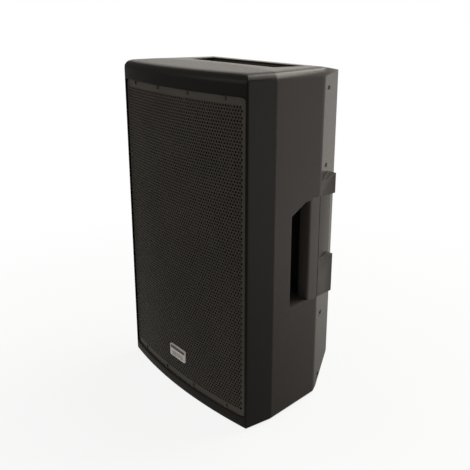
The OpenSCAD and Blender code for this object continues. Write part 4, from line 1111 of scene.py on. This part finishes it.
@dataclass
class Dressing:
    """Finishes of the model pieces that keep their own shape.

    Attributes:
        finishes: Finish to the names of the pieces that wear it.
    """

    finishes: tuple[tuple[Finish, tuple[str, ...]], ...] = (
        (BLACK_OXIDE, ("grille_screws", "panel_screws")),
        (ZINC, ("cabinet_screws", "pole_cup_screws", "woofer_screws", "horn_screws", "hf_bolts", "woofer_top_plate",
                "woofer_yoke", "hf_front_plate", "latch_tab_1", "latch_tab_2")),
        (NYLON, ("pole_cup", "port_tubes", "horn", "hf_rear_cover", "mains_inlet", "fuse_drawer", "rocker_frame",
                 "combo_input_1", "combo_input_2")),
        (RUBBER, ("rubber_feet",)),
        (POWDER_COAT, ("woofer_basket",)),
        (FOAM, ("woofer_gasket",)),
        (DOPED_CLOTH, ("woofer_surround",)),
        (PULP, ("woofer_cone", "woofer_dust_cap")),
        (RESIN_CLOTH, ("woofer_spider",)),
        (COPPER_WIRE, ("voice_coil",)),
        (FERRITE, ("woofer_magnet", "hf_magnet")),
        (PHENOLIC, ("woofer_terminals",)),
        (FILM, ("hf_diaphragm",)),
        (PANEL_PAINT, ("amp_panel",)),
        (ANODISED, ("heatsink",)),
        (GALVANISED, ("amp_cover",)),
        (SOLDER_MASK, ("amp_board",)),
        (SHRINK_SLEEVE, ("amp_capacitors",)),
        (WOUND_TAPE, ("power_transformer",)),
        (FUSE_GLASS, ("fuse",)),
        (RED_GLOSS, ("power_rocker",)),
        (GREY_GLOSS, ("lift_button",)),
        (SOFT_TOUCH, ("knob_level_1", "knob_level_2", "knob_treble", "knob_bass")),
        (PLATED_CAN, ("potentiometers", "lift_switch")),
        (LENS, ("status_lights",)),
        (WIRE_SLEEVE, ("speaker_wires",)),
        (BEZEL_PLASTIC, ("front_bezel",)),
        (SHELL_PLASTIC, ("rear_shell",)),
        (GRIP_PLASTIC_PAINTED_LIGHTER, ("side_handle_right", "side_handle_left", "top_handle")),
        (POWDER_COAT, ("grille",)),
        (BRUSHED_PLATE, ("badge",)),
        (FLUFF, ("damping_wadding",)),
    )

    def dress(self) -> None:
        """Gives every model piece its finish."""
        left = set(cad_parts)
        for finish, names in self.finishes:
            for name in names:
                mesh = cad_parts[name].data
                mesh.materials.clear()
                mesh.materials.append(finish.material())
                left.discard(name)
        LOG.info("pieces without a finish: %s", sorted(left) or "none")


# ---------------------------------------------------------------- studio
@dataclass
class Studio:
    """Pale floor, soft light and the camera.

    Attributes:
        azimuth: Camera's direction round the cabinet, in degrees.
        elevation: Camera's height above the horizon, in degrees.
        eye: Where the camera stands, in metres.
        lens: Focal length on a 36 mm sensor.
        dim: Brightness of the room in front of the cabinet, where white is 1.
        ambient: Brightness of the soft light from all round.
        warm: Colour of the studio's light, a little to the warm side.
        floor_r: Radius of the floor, in metres.
        wall_r: Radius of the half-round backdrop, in metres.
        wall_y: The backdrop's axis along the depth, in metres.
        wall_h: Height of the backdrop, in metres.
    """

    azimuth: float = 53.35
    elevation: float = 18.18
    eye: tuple[float, float, float] = (1.1491, -0.8597, 0.7954)
    lens: float = 53.15
    dim: float = 0.14
    ambient: float = 0.4
    warm: str = "#fff9f1"
    floor_r: float = 9.0
    wall_r: float = 4.2
    wall_y: float = 0.8
    wall_h: float = 3.2

    @staticmethod
    def _staged(name: str, shape: bmesh.types.BMesh, finish: str) -> bpy.types.NodeTree:
        """Turns a shape into a stage object with an empty material.

        Args:
            name: Name of the object.
            shape: Its shape, which is freed.
            finish: Name of its material.

        Returns:
            The material's node tree, to be filled.
        """
        mesh = bpy.data.meshes.new(name)
        shape.to_mesh(mesh)
        shape.free()
        made = bpy.data.objects.new(name, mesh)
        bpy.context.scene.collection.objects.link(made)
        coat = bpy.data.materials.new(finish)
        coat.use_nodes = True
        coat.node_tree.nodes.clear()
        mesh.materials.append(coat)
        return coat.node_tree

    def _floor(self) -> None:
        """Lays a pale floor that keeps a faint shadow and looks white to the camera."""
        shape = bmesh.new()
        bmesh.ops.create_circle(shape, cap_ends=True, segments=96, radius=self.floor_r)
        tree = self._staged("floor", shape, "matt_white_floor_paint")
        matt = add(tree, "ShaderNodeBsdfDiffuse", {"Color": linear("#dcdcdc")})
        path = add(tree, "ShaderNodeLightPath")
        # the lit end of the floor lies behind the cabinet; in front the room is dim
        place = add(tree, "ShaderNodeTexCoord")
        across = add(tree, "ShaderNodeSeparateXYZ", links={0: place.outputs["Object"]})
        lit = add(tree, "ShaderNodeMapRange", {"From Min": -0.4, "From Max": 0.9, "To Min": self.dim, "To Max": 1.0},
                  {"Value": across.outputs["Y"]})
        level = add(tree, "ShaderNodeMix", {3: 1.0}, {0: path.outputs["Is Camera Ray"], 2: lit.outputs["Result"]})
        paint = add(tree, "ShaderNodeMix", {6: linear(self.warm), 7: linear("#ffffff")},
                    {0: path.outputs["Is Camera Ray"]}, data_type="RGBA")
        glow = add(tree, "ShaderNodeEmission", links={"Color": paint.outputs[2], "Strength": level.outputs[0]})
        mirrored = add(tree, "ShaderNodeMath",
                       links={0: path.outputs["Is Glossy Ray"], 1: path.outputs["Is Transmission Ray"]},
                       operation="MAXIMUM")
        # the shadow shows near the cabinet; further out the floor goes over into the white backdrop
        away = add(tree, "ShaderNodeVectorMath", links={0: place.outputs["Object"]}, operation="LENGTH")
        fade = add(tree, "ShaderNodeMapRange", {"From Min": 0.35, "From Max": 1.3, "To Min": 0.88, "To Max": 1.0},
                   {"Value": away.outputs["Value"]})
        seen = add(tree, "ShaderNodeMath", links={0: path.outputs["Is Camera Ray"], 1: fade.outputs["Result"]},
                   operation="MULTIPLY")
        share = add(tree, "ShaderNodeMath", links={0: seen.outputs[0], 1: mirrored.outputs[0]}, operation="MAXIMUM")
        mixed = add(tree, "ShaderNodeMixShader",
                    links={0: share.outputs[0], 1: matt.outputs[0], 2: glow.outputs[0]})
        add(tree, "ShaderNodeOutputMaterial", links={"Surface": mixed.outputs[0]})

    def _backdrop(self) -> None:
        """Stands a white half-round backdrop behind the cabinet, which its rear facets mirror."""
        shape = bmesh.new()
        foot = shape.verts.new((-self.wall_r, self.wall_y, 0.0))
        bmesh.ops.spin(shape, geom=[foot], cent=(0, self.wall_y, 0), axis=(0, 0, 1), angle=-math.pi, steps=48)
        wall = bmesh.ops.extrude_edge_only(shape, edges=shape.edges[:])["geom"]
        bmesh.ops.translate(shape, vec=(0, 0, self.wall_h), verts=verts_of(wall))
        tree = self._staged("backdrop", shape, "white_backdrop_paper")
        path = add(tree, "ShaderNodeLightPath")
        seen = add(tree, "ShaderNodeMath", links={0: path.outputs["Is Camera Ray"], 1: path.outputs["Is Glossy Ray"]},
                   operation="MAXIMUM")
        level = add(tree, "ShaderNodeMix", {2: self.ambient, 3: 1.0}, {0: seen.outputs[0]})
        tone = add(tree, "ShaderNodeMix", {6: linear(self.warm), 7: linear("#ffffff")},
                   {0: path.outputs["Is Camera Ray"]}, data_type="RGBA")
        glow = add(tree, "ShaderNodeEmission", links={"Color": tone.outputs[2], "Strength": level.outputs[0]})
        add(tree, "ShaderNodeOutputMaterial", links={"Surface": glow.outputs[0]})

    def _surroundings(self) -> None:
        """Sets a world that looks white to the camera and in reflections, and gives plain soft light."""
        world = bpy.data.worlds.new("studio")
        bpy.context.scene.world = world
        world.use_nodes = True
        tree = world.node_tree
        tree.nodes.clear()
        path = add(tree, "ShaderNodeLightPath")
        dim = add(tree, "ShaderNodeMapRange", {"To Min": self.ambient, "To Max": self.dim},
                  {"Value": path.outputs["Is Glossy Ray"]})
        through = add(tree, "ShaderNodeMath",
                      links={0: path.outputs["Is Camera Ray"], 1: path.outputs["Is Transmission Ray"]},
                      operation="MAXIMUM")
        level = add(tree, "ShaderNodeMix", {3: 1.0}, {0: through.outputs[0], 2: dim.outputs["Result"]})
        tone = add(tree, "ShaderNodeMix", {6: linear(self.warm), 7: linear("#ffffff")}, {0: through.outputs[0]},
                   data_type="RGBA")
        white = add(tree, "ShaderNodeBackground", links={"Color": tone.outputs[2], "Strength": level.outputs[0]})
        add(tree, "ShaderNodeOutputWorld", links={"Surface": white.outputs[0]})

    def _lamp(self, name: str, place: Sequence[float], size: float, power: float) -> None:
        """Hangs one large soft lamp that looks at the cabinet's middle.

        Args:
            name: Name of the lamp.
            place: Where it hangs, in metres.
            size: Side of its square face, in metres.
            power: Its power in watts.
        """
        data = bpy.data.lights.new(name, "AREA")
        data.size = size
        data.energy = power
        data.color = linear(self.warm)[:3]
        lamp = bpy.data.objects.new(name, data)
        bpy.context.scene.collection.objects.link(lamp)
        lamp.location = place
        aim = Vector((0, 0, 0.35)) - Vector(place)
        lamp.rotation_mode = "QUATERNION"
        lamp.rotation_quaternion = aim.to_track_quat("-Z", "Y")

    def _camera(self) -> None:
        """Sets up the camera."""
        data = bpy.data.cameras.new("camera")
        data.lens = self.lens
        data.sensor_width = 36.0
        camera = bpy.data.objects.new("camera", data)
        bpy.context.scene.collection.objects.link(camera)
        a, e = math.radians(self.azimuth), math.radians(self.elevation)
        back = Vector((math.sin(a) * math.cos(e), -math.cos(a) * math.cos(e), math.sin(e)))
        camera.location = self.eye
        camera.rotation_mode = "QUATERNION"
        camera.rotation_quaternion = (-back).to_track_quat("-Z", "Y")
        bpy.context.scene.camera = camera

    def build(self) -> None:
        """Builds floor, world, lamps and camera."""
        self._camera()
        self._floor()
        self._backdrop()
        self._surroundings()
        self._lamp("overhead_softbox", (0.2, 1.7, 2.4), 1.8, 60)
        self._lamp("front_softbox", (-1.4, -2.4, 1.6), 1.6, 8)
        scene = bpy.context.scene
        scene.view_settings.view_transform = "Standard"


def main() -> None:
    """Builds the studio and every sub-assembly, in order."""
    logging.basicConfig(level=logging.INFO, format="%(name)s %(message)s")
    Studio().build()
    Dressing().dress()
    for part in (Mouldings(), PerforatedGrille(), Badge(), Wadding(), PanelPrint()):
        part.build()
        LOG.info("built %s", type(part).__name__)


if __name__ == "__main__":
    main()
